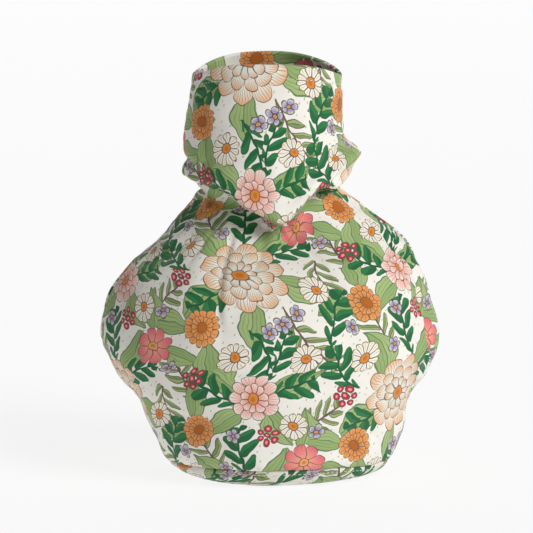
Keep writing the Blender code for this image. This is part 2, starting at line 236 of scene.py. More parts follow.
# The crease along the top of the flap's roll, from its low end to the handle's seam
FLAP_LINE = [
    LinePoint(124, 176), LinePoint(131, 180.5), LinePoint(141, 187.5),
    LinePoint(152, 194), LinePoint(163, 200.5), LinePoint(176, 203.5),
]

SPOUT_SLOT = Slot("spout_slot", 0.0, 72, 130, 16.0, 1.8)
HANDLE_SLOT = Slot("handle_slot", math.pi, 80, 166, 9.0, 0.6)


def hermite(part: np.ndarray, length: np.ndarray, ends: tuple, slopes: tuple) -> np.ndarray:
    """A smooth curve from one place to the next.

    Args:
        part: the share of the way, from 0 to 1.
        length: how long the way is.
        ends: the two places.
        slopes: how steeply the curve leaves the first and arrives at the second.

    Returns:
        The place at each share.
    """
    start = (2 * part**3 - 3 * part**2 + 1) * ends[0]
    end = (3 * part**2 - 2 * part**3) * ends[1]
    leave = (part**3 - 2 * part**2 + part) * length * slopes[0]
    arrive = (part**3 - part**2) * length * slopes[1]
    return start + end + leave + arrive


def smooth_curve(at: np.ndarray, height: np.ndarray, place: np.ndarray) -> np.ndarray:
    """A smooth curve through some heights.

    Args:
        at: where the heights are given, in rising order.
        height: the heights there.
        place: where the curve is read.

    Returns:
        The height of the curve at each place.
    """
    slope = np.gradient(height, at)
    first = np.clip(np.searchsorted(at, place, side="right") - 1, 0, len(at) - 2)
    length = at[first + 1] - at[first]
    part = np.clip((place - at[first]) / length, 0, 1)
    ends = (height[first], height[first + 1])
    return hermite(part, length, ends, (slope[first], slope[first + 1]))


def smooth_step(value: np.ndarray, low: float, high: float) -> np.ndarray:
    """0 up to low and 1 from high, with a smooth rise between."""
    share = np.clip((value - low) / (high - low), 0, 1)
    return share * share * (3 - 2 * share)


def bell(value: np.ndarray, middle: float, width: float) -> np.ndarray:
    """A soft hump, 1 at its middle."""
    return np.exp(-(((value - middle) / width) ** 2))


@dataclass(frozen=True)
class Cosy:
    """The whole outside of the cosy as one surface, in millimetres from the middle of the neck.

    Places are given by a turn, from the left seam across the front to the right seam and on
    across the back, and by a level, which counts rings from the mouth as a fraction.
    """

    thickness: float = 2.5
    seam_gap: float = 0.3
    step: float = 1e-3
    flat_until: float = 12.0
    pleats: int = 13
    pleat_height: float = 1.6
    pleat_reach_down: float = 13.0
    pleat_reach_up: float = 11.0
    lump_height: float = 0.55
    seam_sink: float = 0.9
    seam_sink_width: float = 3.2
    slot_roundness: float = 0.8
    slot_lift_reach: float = 1.6
    gather_height: float = 0.45
    pucker_height: float = 0.16
    pucker_reach: float = 7.0
    tuck_depth: float = 1.7
    tuck_roll: float = 0.8
    tuck_width: float = 1.8
    lip_roll: float = 1.5
    lip_under: float = 1.4
    lip_width: float = 3.0
    relief_limit: float = 1.9
    steepest: float = 0.9
    pleat_lap: float = 1.1
    pleat_lap_at: tuple = (-1.7, 1.9)
    pleat_tuck: float = 1.7
    pleat_tuck_at: tuple = (1.2, 1.8)
    pleat_fade: float = 24.0
    pleat_full: float = 4.0
    crease_slant: float = 0.8
    crease_start: tuple = (-3.0, 13.0)
    flap_lap: float = 1.0
    flap_lap_at: tuple = (2.2, 2.0)
    flap_tuck: float = 2.2
    flap_tuck_at: tuple = (-0.7, 1.5)
    pleat_slip: float = 8.0
    rim_hem: float = 9.0
    slot_hem: float = 6.0
    hem_rise: float = 0.22
    hem_edge: float = 0.6
    stitch_inset: float = 1.5
    stitch_sink: float = 0.3
    stitch_width: float = 1.0

    def neck_line(self, turn: np.ndarray, column: str) -> np.ndarray:
        """One column of the neck's table, as a smooth closed curve.

        Args:
            turn: the turns of the places.
            column: the column's name.

        Returns:
            Its value at each place, in millimetres.
        """
        turns = [point.turn for point in NECK_LINE]
        values = [getattr(point, column) for point in NECK_LINE]
        at = np.array([turns[-1] - 360.0, *turns, turns[0] + 360.0, turns[1] + 360.0])
        height = np.array([values[-1], *values, values[0], values[1]], dtype=float)
        return smooth_curve(at, height, np.degrees(turn) % 360.0)

    def ring_points(self, ring: Ring, turn: np.ndarray) -> np.ndarray:
        """The points of one ring at these places round it.

        Args:
            ring: the ring.
            turn: the turns of the places.

        Returns:
            The points, in millimetres.
        """
        to_left = np.cos(turn) >= 0
        to_front = np.sin(turn) >= 0
        share = np.abs(np.cos(turn)) ** ring.spread
        z_side = np.where(to_left, ring.z_left, ring.z_right)
        z_face = np.where(to_front, ring.z_front, ring.z_back)
        z = share * z_side + (1 - share) * z_face - ring.sag * self.neck_line(turn, "sag")
        side = np.where(to_left, ring.left, ring.right)
        face = np.where(to_front, ring.front, ring.back)
        if ring.name == "lip":
            z = z - self.neck_line(turn, "drop")
            side = side + self.neck_line(turn, "puff")
            face = face + self.neck_line(turn, "puff")
        return np.stack([-np.cos(turn) * side, -np.sin(turn) * face, z], axis=-1)

    @property
    def knots(self) -> np.ndarray:
        """How far each ring lies from the mouth along the cloth, on average.

        Returns:
            One distance for each ring, in millimetres.
        """
        turn = np.linspace(0, FULL_TURN, 72, endpoint=False)
        rings = np.stack([self.ring_points(ring, turn) for ring in RINGS])
        chords = np.linalg.norm(np.diff(rings, axis=0), axis=-1).mean(axis=1)
        return np.concatenate([[0.0], np.cumsum(chords)])

    def loft(self, turn: np.ndarray, level: np.ndarray) -> np.ndarray:
        """The smooth cloth through all the rings.

        Args:
            turn: the turns of the places.
            level: the levels of the places.

        Returns:
            The points, in millimetres.
        """
        rings = np.stack([self.ring_points(ring, turn) for ring in RINGS])
        chords = np.diff(self.knots)
        lengths = chords.reshape(-1, *[1] * (rings.ndim - 1))
        slopes = np.diff(rings, axis=0) / lengths
        slope_below = np.concatenate([slopes[:1], slopes])
        slope_above = np.concatenate([slopes, slopes[-1:]])
        below = np.concatenate([lengths[:1], lengths])
        above = np.concatenate([lengths, lengths[-1:]])
        tangents = (slope_below * above + slope_above * below) / (below + above)
        first = np.clip(np.floor(level).astype(int), 0, len(RINGS) - 2)
        part = (level - first)[..., None]
        length = chords[first][..., None]

        def at(values: np.ndarray, index: np.ndarray) -> np.ndarray:
            """The values of the rings with these numbers."""
            return np.take_along_axis(values, index[None, ..., None], axis=0)[0]

        ends = (at(rings, first), at(rings, first + 1))
        return hermite(part, length, ends, (at(tangents, first), at(tangents, first + 1)))

    def fold_height(self, folds: list, turn: np.ndarray, points: np.ndarray) -> np.ndarray:
        """The height of these folds together.

        Args:
            folds: the folds.
            turn: the turns of the places.
            points: the places.

        Returns:
            The height at each place, in millimetres.
        """
        reach = np.hypot(points[..., 0], points[..., 1])
        height = np.zeros_like(reach)
        for fold in folds:
            run = math.radians(fold.head_turn - fold.foot_turn) * reach
            rise = fold.head_z - fold.foot_z
            length = np.hypot(run, rise)
            from_foot = turn - math.radians(fold.foot_turn)
            round_it = ((from_foot + math.pi) % FULL_TURN - math.pi) * reach
            up_it = points[..., 2] - fold.foot_z
            along = (round_it * run + up_it * rise) / length
            share = np.clip(along / length, 0, 1)
            bow = math.radians(fold.bow) * reach * 4 * share * (1 - share)
            across = (round_it * rise - up_it * run) / length - bow
            past = np.maximum(-along, along - length)
            fade = bell(np.maximum(past, 0), 0, fold.fade)
            height += fold.height * fade * bell(across, 0, fold.width)
        return height

    def past_pleat(self, turn: np.ndarray, points: np.ndarray) -> tuple:
        """How far each place lies past the pleat by the handle, in millimetres, and its share.

        Args:
            turn: the turns of the places.
            points: the places.

        Returns:
            The distance, which is above 0 towards the handle, and a share that is 1 at the
            pleat's heights and 0 well above and below them.
        """
        z = points[..., 2]
        heights = np.array([point.z for point in PLEAT_LINE])
        line = smooth_curve(heights, np.array([point.turn for point in PLEAT_LINE]), z)
        reach = np.hypot(points[..., 0], points[..., 1])
        on_front = np.sin(turn) >= 0
        low, high = heights[0], heights[-1]
        share = smooth_step(z, low - self.pleat_fade, low + self.pleat_full)
        share = share * (1 - smooth_step(z, high - self.pleat_full, high + self.pleat_fade))
        return (turn - np.radians(line)) * reach, share * on_front

    def pleat(self, turn: np.ndarray, points: np.ndarray) -> np.ndarray:
        """The lap of the pleat by the handle, and the sharp tuck behind it.

        Args:
            turn: the turns of the places.
            points: the places.

        Returns:
            The height at each place, in millimetres.
        """
        past, share = self.past_pleat(turn, points)
        lap = self.pleat_lap * bell(past, *self.pleat_lap_at)
        tuck = self.pleat_tuck * bell(past, *self.pleat_tuck_at)
        return share**3 * (lap - tuck)

    def below_crease(self, turn: np.ndarray, points: np.ndarray) -> tuple:
        """How far each place lies below the flap's crease, in millimetres, and its share.

        Args:
            turn: the turns of the places.
            points: the places.

        Returns:
            The distance, which is above 0 on the flap's roll, and a share that is 1 along the
            crease and 0 away from its low end.
        """
        at = np.degrees(turn)
        turns = np.array([point.turn for point in FLAP_LINE], dtype=float)
        line = smooth_curve(turns, np.array([point.z for point in FLAP_LINE]), at)
        first, full = self.crease_start
        share = smooth_step(at, turns[0] + first, turns[0] + full) * (np.sin(turn) >= 0)
        return self.crease_slant * (line - points[..., 2]), share

    def flap_fold(self, turn: np.ndarray, points: np.ndarray) -> np.ndarray:
        """The roll of the flap where it laps its crease, and the sharp tuck above it.

        Args:
            turn: the turns of the places.
            points: the places.

        Returns:
            The height at each place, in millimetres.
        """
        below, share = self.below_crease(turn, points)
        lap = self.flap_lap * bell(below, *self.flap_lap_at)
        tuck = self.flap_tuck * bell(below, *self.flap_tuck_at)
        return share * (lap - tuck)

    def level_at(self, along: np.ndarray) -> np.ndarray:
        """The levels at these distances from the mouth, along the cloth."""
        return np.interp(along, self.knots, np.arange(len(RINGS)))

    def along_from(self, ring: int, level: np.ndarray) -> np.ndarray:
        """How far these levels lie above a ring, along the cloth."""
        knots = self.knots
        return np.interp(level, np.arange(len(RINGS)), knots) - knots[ring]

    def gathers(self, turn: np.ndarray, level: np.ndarray) -> np.ndarray:
        """The uneven pleats of the neck, with finer ones between them.

        Args:
            turn: the turns of the places.
            level: the levels of the places.

        Returns:
            The height at each place, in millimetres.
        """
        along = self.along_from(NECK, level)
        reach = np.where(along < 0, self.pleat_reach_down, self.pleat_reach_up)
        fade = bell(along, 0, reach)
        swing = 1.1 * np.sin(3 * turn + 0.7) + 0.8 * np.sin(5 * turn + 2.0)
        depth = 0.75 + 0.25 * np.sin(2 * turn + 0.4)
        return self.pleat_height * depth * fade * np.sin(self.pleats * turn + swing)

    def neck_tuck(self, turn: np.ndarray, level: np.ndarray) -> np.ndarray:
        """The sharp line of the drawn-in neck, the rolls beside it and the finest gathers.

        Args:
            turn: the turns of the places.
            level: the levels of the places.

        Returns:
            The height at each place, in millimetres.
        """
        along = self.along_from(NECK, level)
        line = bell(along, 0, self.tuck_width)
        roll = bell(along, -2.6 * self.tuck_width, 2 * self.tuck_width)
        uneven = 0.75 + 0.25 * np.sin(9 * turn + 2 * np.sin(2 * turn))
        waves = np.sin(31 * turn + 2.4 * np.sin(4 * turn) + 0.05 * along)
        gathers = self.gather_height * bell(along, -1.0, 6.0) * waves
        above = self.along_from(LIP, level)
        lip = self.lip_roll * bell(above, 0, self.lip_width)
        under = self.lip_under * bell(above, -2.1 * self.lip_width, self.lip_width)
        return uneven * (self.tuck_roll * roll - self.tuck_depth * line) + gathers + lip - under

    def hems(self, level: np.ndarray, points: np.ndarray) -> np.ndarray:
        """The turned-in edges of the rim and the slots, sunk a little where they are stitched.

        Args:
            level: the levels of the places.
            points: the places.

        Returns:
            The height at each place, in millimetres.
        """
        hems = [(-self.along_from(RIM, level), self.rim_hem, 1.0)]
        for slot in (SPOUT_SLOT, HANDLE_SLOT):
            on_side = points[..., 0] * math.cos(slot.seam) < 0
            share = self.slot_share(slot, points[..., 2])
            away = np.abs(points[..., 1]) - slot.half_width * share
            hems.append((away, self.slot_hem, on_side * np.clip(4 * share, 0, 1)))
        height = np.zeros_like(level)
        for away, width, share in hems:
            raised = 1 - smooth_step(away, width - self.hem_edge, width + self.hem_edge)
            stitched = bell(away, width - self.stitch_inset, self.stitch_width)
            height += share * (self.hem_rise * raised - self.stitch_sink * stitched)
        return height

    def lumps(self, turn: np.ndarray, level: np.ndarray) -> np.ndarray:
        """Slow swellings of the wadding.

        Args:
            turn: the turns of the places.
            level: the levels of the places.

        Returns:
            The height at each place, in millimetres.
        """
        wide = np.sin(3 * turn + 1.3 * level) * np.sin(1.7 * level + 0.6 + np.sin(2 * turn))
        small = np.sin(7 * turn - 1.9 * level + 0.5) * np.sin(2.6 * level + 1.1)
        return self.lump_height * (wide + 0.6 * small)

    def seams(self, turn: np.ndarray, level: np.ndarray, points: np.ndarray) -> np.ndarray:
        """How far the cloth sinks along the side seams and the base seam.

        Args:
            turn: the turns of the places.
            level: the levels of the places.
            points: the places.

        Returns:
            The height at each place, which is 0 or less.
        """
        to_side = np.abs(np.sin(turn)) * np.hypot(points[..., 0], points[..., 1])
        side = bell(to_side, 0, self.seam_sink_width) * (level > BASE_SEAM)
        base = bell(self.along_from(BASE_SEAM, level), 0, self.seam_sink_width)
        return -self.seam_sink * np.maximum(side, base)

    def puckers(self, turn: np.ndarray, level: np.ndarray, points: np.ndarray) -> np.ndarray:
        """The small puckers that stitching leaves beside the seams.

        Args:
            turn: the turns of the places.
            level: the levels of the places.
            points: the places.

        Returns:
            The height at each place, in millimetres.
        """
        to_side = np.abs(np.sin(turn)) * np.hypot(points[..., 0], points[..., 1])
        up = self.along_from(BASE_SEAM, level)
        beside = np.exp(-to_side / self.pucker_reach) * np.sin(up * 0.75 + 1.5 * np.sin(up * 0.11))
        above = np.exp(-np.abs(up) / self.pucker_reach) * np.sin(62 * turn + 2 * np.sin(5 * turn))
        return self.pucker_height * (beside * (level > BASE_SEAM) + above)

    def slot_share(self, slot: Slot, z: np.ndarray) -> np.ndarray:
        """How far a slot is open at these heights, from 1 at its middle to 0 past its ends.

        Args:
            slot: the slot.
            z: the heights, in millimetres.

        Returns:
            The share at each height.
        """
        middle = (slot.z_low + slot.z_high) / 2
        half = (slot.z_high - slot.z_low) / 2
        return np.clip(1 - ((z - middle) / half) ** 2, 0, 1) ** self.slot_roundness

    def slot_lift(self, points: np.ndarray) -> np.ndarray:
        """How far the edges of the slots stand off.

        Args:
            points: the places.

        Returns:
            The height at each place, in millimetres.
        """
        height = np.zeros_like(points[..., 2])
        for slot in (SPOUT_SLOT, HANDLE_SLOT):
            near = np.exp(-((points[..., 1] / (self.slot_lift_reach * slot.half_width)) ** 2))
            on_side = points[..., 0] * math.cos(slot.seam) < 0
            height += slot.lift * near * on_side * self.slot_share(slot, points[..., 2])
        return height

    def normals(self, surface: Callable, turn: np.ndarray, level: np.ndarray) -> np.ndarray:
        """The outward normals of a surface that is given as a function of turn and level.

        Args:
            surface: the function, which gives the places.
            turn: the turns of the places.
            level: the levels of the places.

        Returns:
            The normal at each place, of length 1.
        """
        level_low = np.maximum(level - self.step, 0)
        level_high = np.minimum(level + self.step, len(RINGS) - 1)
        round_it = surface(turn + self.step, level) - surface(turn - self.step, level)
        up_it = surface(turn, level_high) - surface(turn, level_low)
        normal = np.cross(round_it, up_it)
        return normal / np.linalg.norm(normal, axis=-1, keepdims=True)

    def smooth_height(self, turn: np.ndarray, level: np.ndarray, base: np.ndarray) -> np.ndarray:
        """How far the folds, gathers, lumps, seams and the tuck at the neck stand off the loft.

        Args:
            turn: the turns of the places.
            level: the levels of the places.
            base: the places on the loft.

        Returns:
            The height at each place, in millimetres.
        """
        height = self.fold_height(FOLDS, turn, base) + self.gathers(turn, level)
        height += self.lumps(turn, level) + self.neck_tuck(turn, level)
        return height + self.slot_lift(base) + self.seams(turn, level, base)

    def fine_height(self, turn: np.ndarray, level: np.ndarray, base: np.ndarray) -> np.ndarray:
        """How far the outer face's creases, pleat, flap, hems and puckers stand off its folds.

        Args:
            turn: the turns of the places.
            level: the levels of the places.
            base: the places on the loft.

        Returns:
            The height at each place, in millimetres.
        """
        height = self.fold_height(CREASES, turn, base) + self.pleat(turn, base)
        height += self.flap_fold(turn, base)
        height += self.hems(level, base) + self.puckers(turn, level, base)
        return self.relief_limit * np.tanh(height / self.relief_limit)

    def raised(self, turn: np.ndarray, level: np.ndarray, fine: bool) -> np.ndarray:
        """The loft with its folds, and with the fine relief as well where that is asked for.

        Args:
            turn: the turns of the places.
            level: the levels of the places.
            fine: whether the fine relief is asked for.

        Returns:
            The points, in millimetres.
        """
        base = self.loft(turn, level)
        height = self.smooth_height(turn, level, base)
        if fine:
            height = height + self.fine_height(turn, level, base)
        height = height * np.clip(base[..., 2] / self.flat_until, 0, 1)
        place = base + self.normals(self.loft, turn, level) * height[..., None]
        place[..., 2] = np.maximum(place[..., 2], 0)
        return place

    def outside(self, turn: np.ndarray, level: np.ndarray) -> np.ndarray:
        """The outer face of the cloth."""
        return self.raised(turn, level, True)

    def inside(self, turn: np.ndarray, level: np.ndarray) -> np.ndarray:
        """The inner face of the cloth, which the wadding keeps free of fine creases.

        Both faces are measured along the loft's normals, so that they never meet.

        Args:
            turn: the turns of the places.
            level: the levels of the places.

        Returns:
            The points, in millimetres.
        """
        smooth = partial(self.raised, fine=False)
        normals = self.normals(self.loft, turn, level)
        upright = (self.normals(smooth, turn, level) * normals).sum(axis=-1)
        depth = self.thickness / np.clip(upright, self.steepest, 1)
        place = smooth(turn, level) - depth[..., None] * normals
        place[..., 2] = np.maximum(place[..., 2], 0)
        return place

    def side_edge(
        self, slot: Slot, inward: int, level: np.ndarray, inset: float = 0.0
    ) -> np.ndarray:
        """The turns of a panel's side edge, which stands back from its seam where a slot opens.

        Args:
            slot: the slot on this seam.
            inward: 1 where the panel starts at the seam, and -1 where it ends there.
            level: the levels of the panel's rows.
            inset: how far the line runs inside the edge, in millimetres.

        Returns:
            The turn from the seam at each level.
        """
        at_seam = self.loft(np.full_like(level, slot.seam), level)
        beside = self.loft(np.full_like(level, slot.seam + inward * self.step), level)
        per_turn = np.abs(beside[:, 1] - at_seam[:, 1]) / self.step
        away = self.seam_gap / 2 + slot.half_width * self.slot_share(slot, at_seam[:, 2]) + inset
        return inward * np.arcsin(np.clip(away / per_turn, 0, 1))


COSY = Cosy()


def add_object(name: str, data: bpy.types.ID) -> bpy.types.Object:
    """Put an object into the scene, at the origin.

    Args:
        name: the object's name.
        data: its mesh, light or camera.

    Returns:
        The object.
    """
    made = bpy.data.objects.new(name, data)
    bpy.context.scene.collection.objects.link(made)
    return made


def arc_lengths(points: np.ndarray, axis: int) -> np.ndarray:
    """How far each point of a grid lies along its row (axis 1) or column (axis 0).

    Args:
        points: the places of the grid's points.
        axis: 1 or 0.

    Returns:
        The distance of each point from the first one of its row or column.
    """
    chords = np.linalg.norm(np.diff(points, axis=axis), axis=-1)
    start = np.zeros_like(np.take(points[..., 0], [0], axis=axis))
    return np.concatenate([start, np.cumsum(chords, axis=axis)], axis=axis)


def eased(count: int, length: float, margins: tuple = (0.3, 0.9, 1.8)) -> np.ndarray:
    """Shares from 0 to 1 in even steps, with finer ones at both ends, where edges round off.

    Args:
        count: how many even steps there are, and one more.
        length: how long the way is, in millimetres.
        margins: how far the finer steps lie from each end.

    Returns:
        The shares in rising order.
    """
    inner = np.linspace(0, 1, count)[1:-1]
    edge = np.array(margins) / length
    inner = inner[(inner > edge[-1] * 1.3) & (inner < 1 - edge[-1] * 1.3)]
    return np.concatenate([[0], edge, inner, 1 - edge[::-1], [1]])


@dataclass
class ClothPiece:
    """One piece of cloth: a grid of places, made into a closed sheet with rounded edges.

    The flat cloth is kept in two UV maps. "Cloth" holds metres along and up the flat cloth, in
    which the print is drawn, and "OFBake" spreads the two faces over one square.
    """

    node: str
    slot: str
    flat_size: tuple
    flat_area: float
    held: str
    print_shift: tuple
    rows: int
    columns: int
    closed: bool = False
    outer_share: float = 0.66
    bake_margin: float = 0.004

    @property
    def name(self) -> str:
        """The name of the piece in the scene."""
        return self.node + "_cloth"

    def grid(self) -> tuple:
        """The turns and levels of the piece's points."""
        raise NotImplementedError

    def flat_places(self, outer: np.ndarray) -> tuple:
        """Millimetres along and up the flat cloth at each point of the grid.

        Args:
            outer: the places of the outer face.

        Returns:
            The millimetres along and up.
        """
        across = arc_lengths(outer, 1)
        across -= across[:, [across.shape[1] // 2]]
        return across, arc_lengths(outer, 0)

    def slip(self, turns: np.ndarray, levels: np.ndarray, up: np.ndarray) -> tuple:
        """How far the print is moved by cloth that pleats and gathers hide.

        Args:
            turns: the turns of the piece's points.
            levels: the levels of the piece's points.
            up: how far each point lies up the cloth, in millimetres.

        Returns:
            The millimetres along and up the flat cloth.
        """
        return np.zeros_like(turns), np.zeros_like(turns)

    def stitch_lines(self) -> list:
        """The turns and levels of the points of each line of stitches."""
        return []

    def edge_distance(self, across: np.ndarray, up: np.ndarray) -> np.ndarray:
        """How far each point lies from the nearest edge of its piece.

        Args:
            across: how far each point lies along the cloth.
            up: how far it lies up it.

        Returns:
            The distance, in millimetres.
        """
        away = np.minimum(up, up[-1:] - up)
        if not self.closed:
            sides = np.minimum(across - across[:, :1], across[:, -1:] - across)
            away = np.minimum(away, sides)
        return away

    def faces(self, outer: np.ndarray, inner: np.ndarray, edge: np.ndarray) -> list:
        """The two faces of the cloth, brought together in a half round at its edges.

        Args:
            outer: the places of the outer face.
            inner: those of the inner face.
            edge: how far each point lies from the nearest edge.

        Returns:
            The places of the outer and the inner face.
        """
        near = np.clip(edge / (COSY.thickness / 2), 0, 1)
        swell = np.sqrt(1 - (1 - near) ** 2)[..., None]
        core = (outer + inner) / 2
        half = (outer - inner) / 2
        return [core + half * swell, core - half * swell]

    def corners(self, index: np.ndarray) -> np.ndarray:
        """The four corners of each face of a grid."""
        around = [index[:-1, :-1], index[:-1, 1:], index[1:, 1:], index[1:, :-1]]
        return np.stack(around, axis=-1).reshape(-1, 4)

    def build(self, middle: np.ndarray, material: bpy.types.Material) -> bpy.types.Object:
        """Make the mesh, its UV maps and its object.

        Args:
            middle: the point in millimetres that the frame's origin lies on.
            material: the finish of the cloth.

        Returns:
            The piece, at the origin.
        """
        turns, levels = self.grid()
        outer = COSY.outside(turns, levels)
        across, up = self.flat_places(outer)
        edge = self.edge_distance(across, up)
        both = self.faces(outer, COSY.inside(turns, levels), edge)
        slip_across, slip_up = self.slip(turns, levels, up)
        across = across + slip_across
        up = up + slip_up

        rows, columns = turns.shape
        slots = np.arange(rows * columns).reshape(rows, columns)
        outer_index = slots.copy()
        inner_index = slots + rows * columns
        if self.closed:
            outer_index[:, -1] = outer_index[:, 0]
            inner_index[:, -1] = inner_index[:, 0]
        else:
            inner_index[:, [0, -1]] = outer_index[:, [0, -1]]
        inner_index[[0, -1], :] = outer_index[[0, -1], :]
        quads = np.concatenate([self.corners(outer_index), self.corners(inner_index)[:, ::-1]])
        used, compact = np.unique(quads, return_inverse=True)
        points = np.concatenate([face.reshape(-1, 3) for face in both])

        mesh = bpy.data.meshes.new(self.name)
        places = (points[used] - middle) * MM
        mesh.from_pydata(places.tolist(), [], compact.reshape(-1, 4).tolist())
        here = np.concatenate([self.corners(slots), self.corners(slots)[:, ::-1]]).reshape(-1)
        flat = np.stack([across, up], axis=-1).reshape(-1, 2) * MM + np.array(self.print_shift)
        self.add_map(mesh, "Cloth", flat[here])
        self.add_map(mesh, "OFBake", self.bake_places(rows, columns)[here], here.size // 2)
        mesh.materials.append(material)
        mesh.shade_smooth()
        mesh.validate()
        return add_object(self.name, mesh)

    def bake_places(self, rows: int, columns: int) -> np.ndarray:
        """Each point's place in the unit square."""
        across, up = np.meshgrid(np.linspace(0, 1, columns), np.linspace(0, 1, rows))
        return np.stack([across, up], axis=-1).reshape(-1, 2)

    def add_map(
        self, mesh: bpy.types.Mesh, name: str, places: np.ndarray, outer: int = 0
    ) -> None:
        """Add a UV map to the mesh of the piece.

        Args:
            mesh: the mesh.
            name: the map's name.
            places: each corner's place in the map.
            outer: 0, or how many corners belong to the outer face: these then fill one part of the
                square, and the rest the other.
        """
        if outer:
            margin = self.bake_margin
            share = np.full(len(places), self.outer_share)
            share[outer:] = 1 - self.outer_share
            start = np.zeros(len(places))
            start[outer:] = self.outer_share
            across = start + margin + places[:, 0] * (share - 2 * margin)
            places = np.stack([across, margin + places[:, 1] * (1 - 2 * margin)], axis=-1)
        layer = mesh.uv_layers.new(name=name)
        layer.data.foreach_set("uv", places.astype(np.float32).ravel())


class Side(Enum):
    """The two panels, by the number of half turns before each one starts."""

    FRONT = 0
    BACK = 1


@dataclass
class Panel(ClothPiece):
    """The front or back panel, from the base seam to the rim of the collar."""

    side: Side = Side.FRONT
    seam_margin: float = 0.03
    slot_margin: float = 3.0
    rim_points: int = 160
    slot_points: int = 60
    seam_samples: int = 400

    def grid(self) -> tuple:
        """The turns and levels of the panel's points, from one side edge to the other.

        Returns:
            The turns and the levels.
        """
        knots = COSY.knots
        start = knots[BASE_SEAM] + COSY.seam_gap / 2
        length = knots[RIM] - start
        level = COSY.level_at(start + eased(self.rows, length) * length)
        turn = self.side.value * math.pi
        edges = [COSY.side_edge(slot, inward, level) for slot, inward in self.sides()]
        first = turn + edges[0]
        last = turn + math.pi + edges[1]
        share = eased(self.columns, self.flat_size[0] / MM)
        turns = first[:, None] + share * (last - first)[:, None]
        return turns, np.repeat(level[:, None], len(share), axis=1)

    def slip(self, turns: np.ndarray, levels: np.ndarray, up: np.ndarray) -> tuple:
        """The print jumps at the pleat by the handle, and the gathers leave it level above them.

        Args:
            turns: the turns of the panel's points.
            levels: their levels.
            up: how far each point lies up the cloth, in millimetres.

        Returns:
            The millimetres along and up the flat cloth.
        """
        hidden = up[-1].max() - up[-1]
        above_neck = smooth_step(COSY.along_from(NECK, levels), -6, 4)
        past, share = COSY.past_pleat(turns, COSY.loft(turns, levels))
        return COSY.pleat_slip * share * smooth_step(past, -0.5, 1.5), hidden * above_neck

    def stitch_lines(self) -> list:
        """One line below the rim, and one down each side where the slot's edge is turned in.

        Returns:
            The turns and levels of the points of each line.
        """
        start = self.side.value * math.pi
        below_rim = COSY.knots[RIM] - COSY.rim_hem + COSY.stitch_inset
        margin = self.seam_margin
        turns = start + np.linspace(margin, math.pi - margin, self.rim_points)
        lines = [(turns, np.full_like(turns, COSY.level_at(below_rim)))]
        for slot, inward in self.sides():
            low = slot.z_low + self.slot_margin
            heights = np.linspace(low, slot.z_high - self.slot_margin, self.slot_points)
            level = self.levels_at(slot, heights)
            inset = COSY.slot_hem - COSY.stitch_inset
            edge = COSY.side_edge(slot, inward, level, inset)
            at = start if inward > 0 else start + math.pi
            lines.append((at + edge, level))
        return lines

    def sides(self) -> list:
        """The slots on the panel's first and last edges, and the way into the panel from each."""
        slots = [SPOUT_SLOT, HANDLE_SLOT] if self.side is Side.FRONT else [HANDLE_SLOT, SPOUT_SLOT]
        return list(zip(slots, (1, -1)))

    def levels_at(self, slot: Slot, heights: np.ndarray) -> np.ndarray:
        """The levels at which the seam of a slot passes these heights."""
        level = np.linspace(BASE_SEAM, NECK, self.seam_samples)
        return np.interp(heights, COSY.loft(np.full_like(level, slot.seam), level)[:, 2], level)


@dataclass
class BaseBand(ClothPiece):
    """The band that turns under, from the base seam to the hem round the mouth."""

    stitches_below: float = 2.4
    stitch_points: int = 400

    def grid(self) -> tuple:
        """The turns and levels of the band's points. The last column lies on the first.

        Returns:
            The turns and the levels.
        """
        knots = COSY.knots
        length = knots[BASE_SEAM] - knots[MOUTH] - COSY.seam_gap / 2
        level = COSY.level_at(eased(self.rows, length) * length)
        turn = np.linspace(0, FULL_TURN, self.columns + 1)
        turns, levels = np.meshgrid(turn, level)
        return turns, levels

    def stitch_lines(self) -> list:
        """One line just below the base seam.

        Returns:
            The turns and levels of the line's points.
        """
        below = COSY.knots[BASE_SEAM] - self.stitches_below
        turns = np.linspace(0, FULL_TURN, self.stitch_points)
        return [(turns, np.full_like(turns, COSY.level_at(below)))]


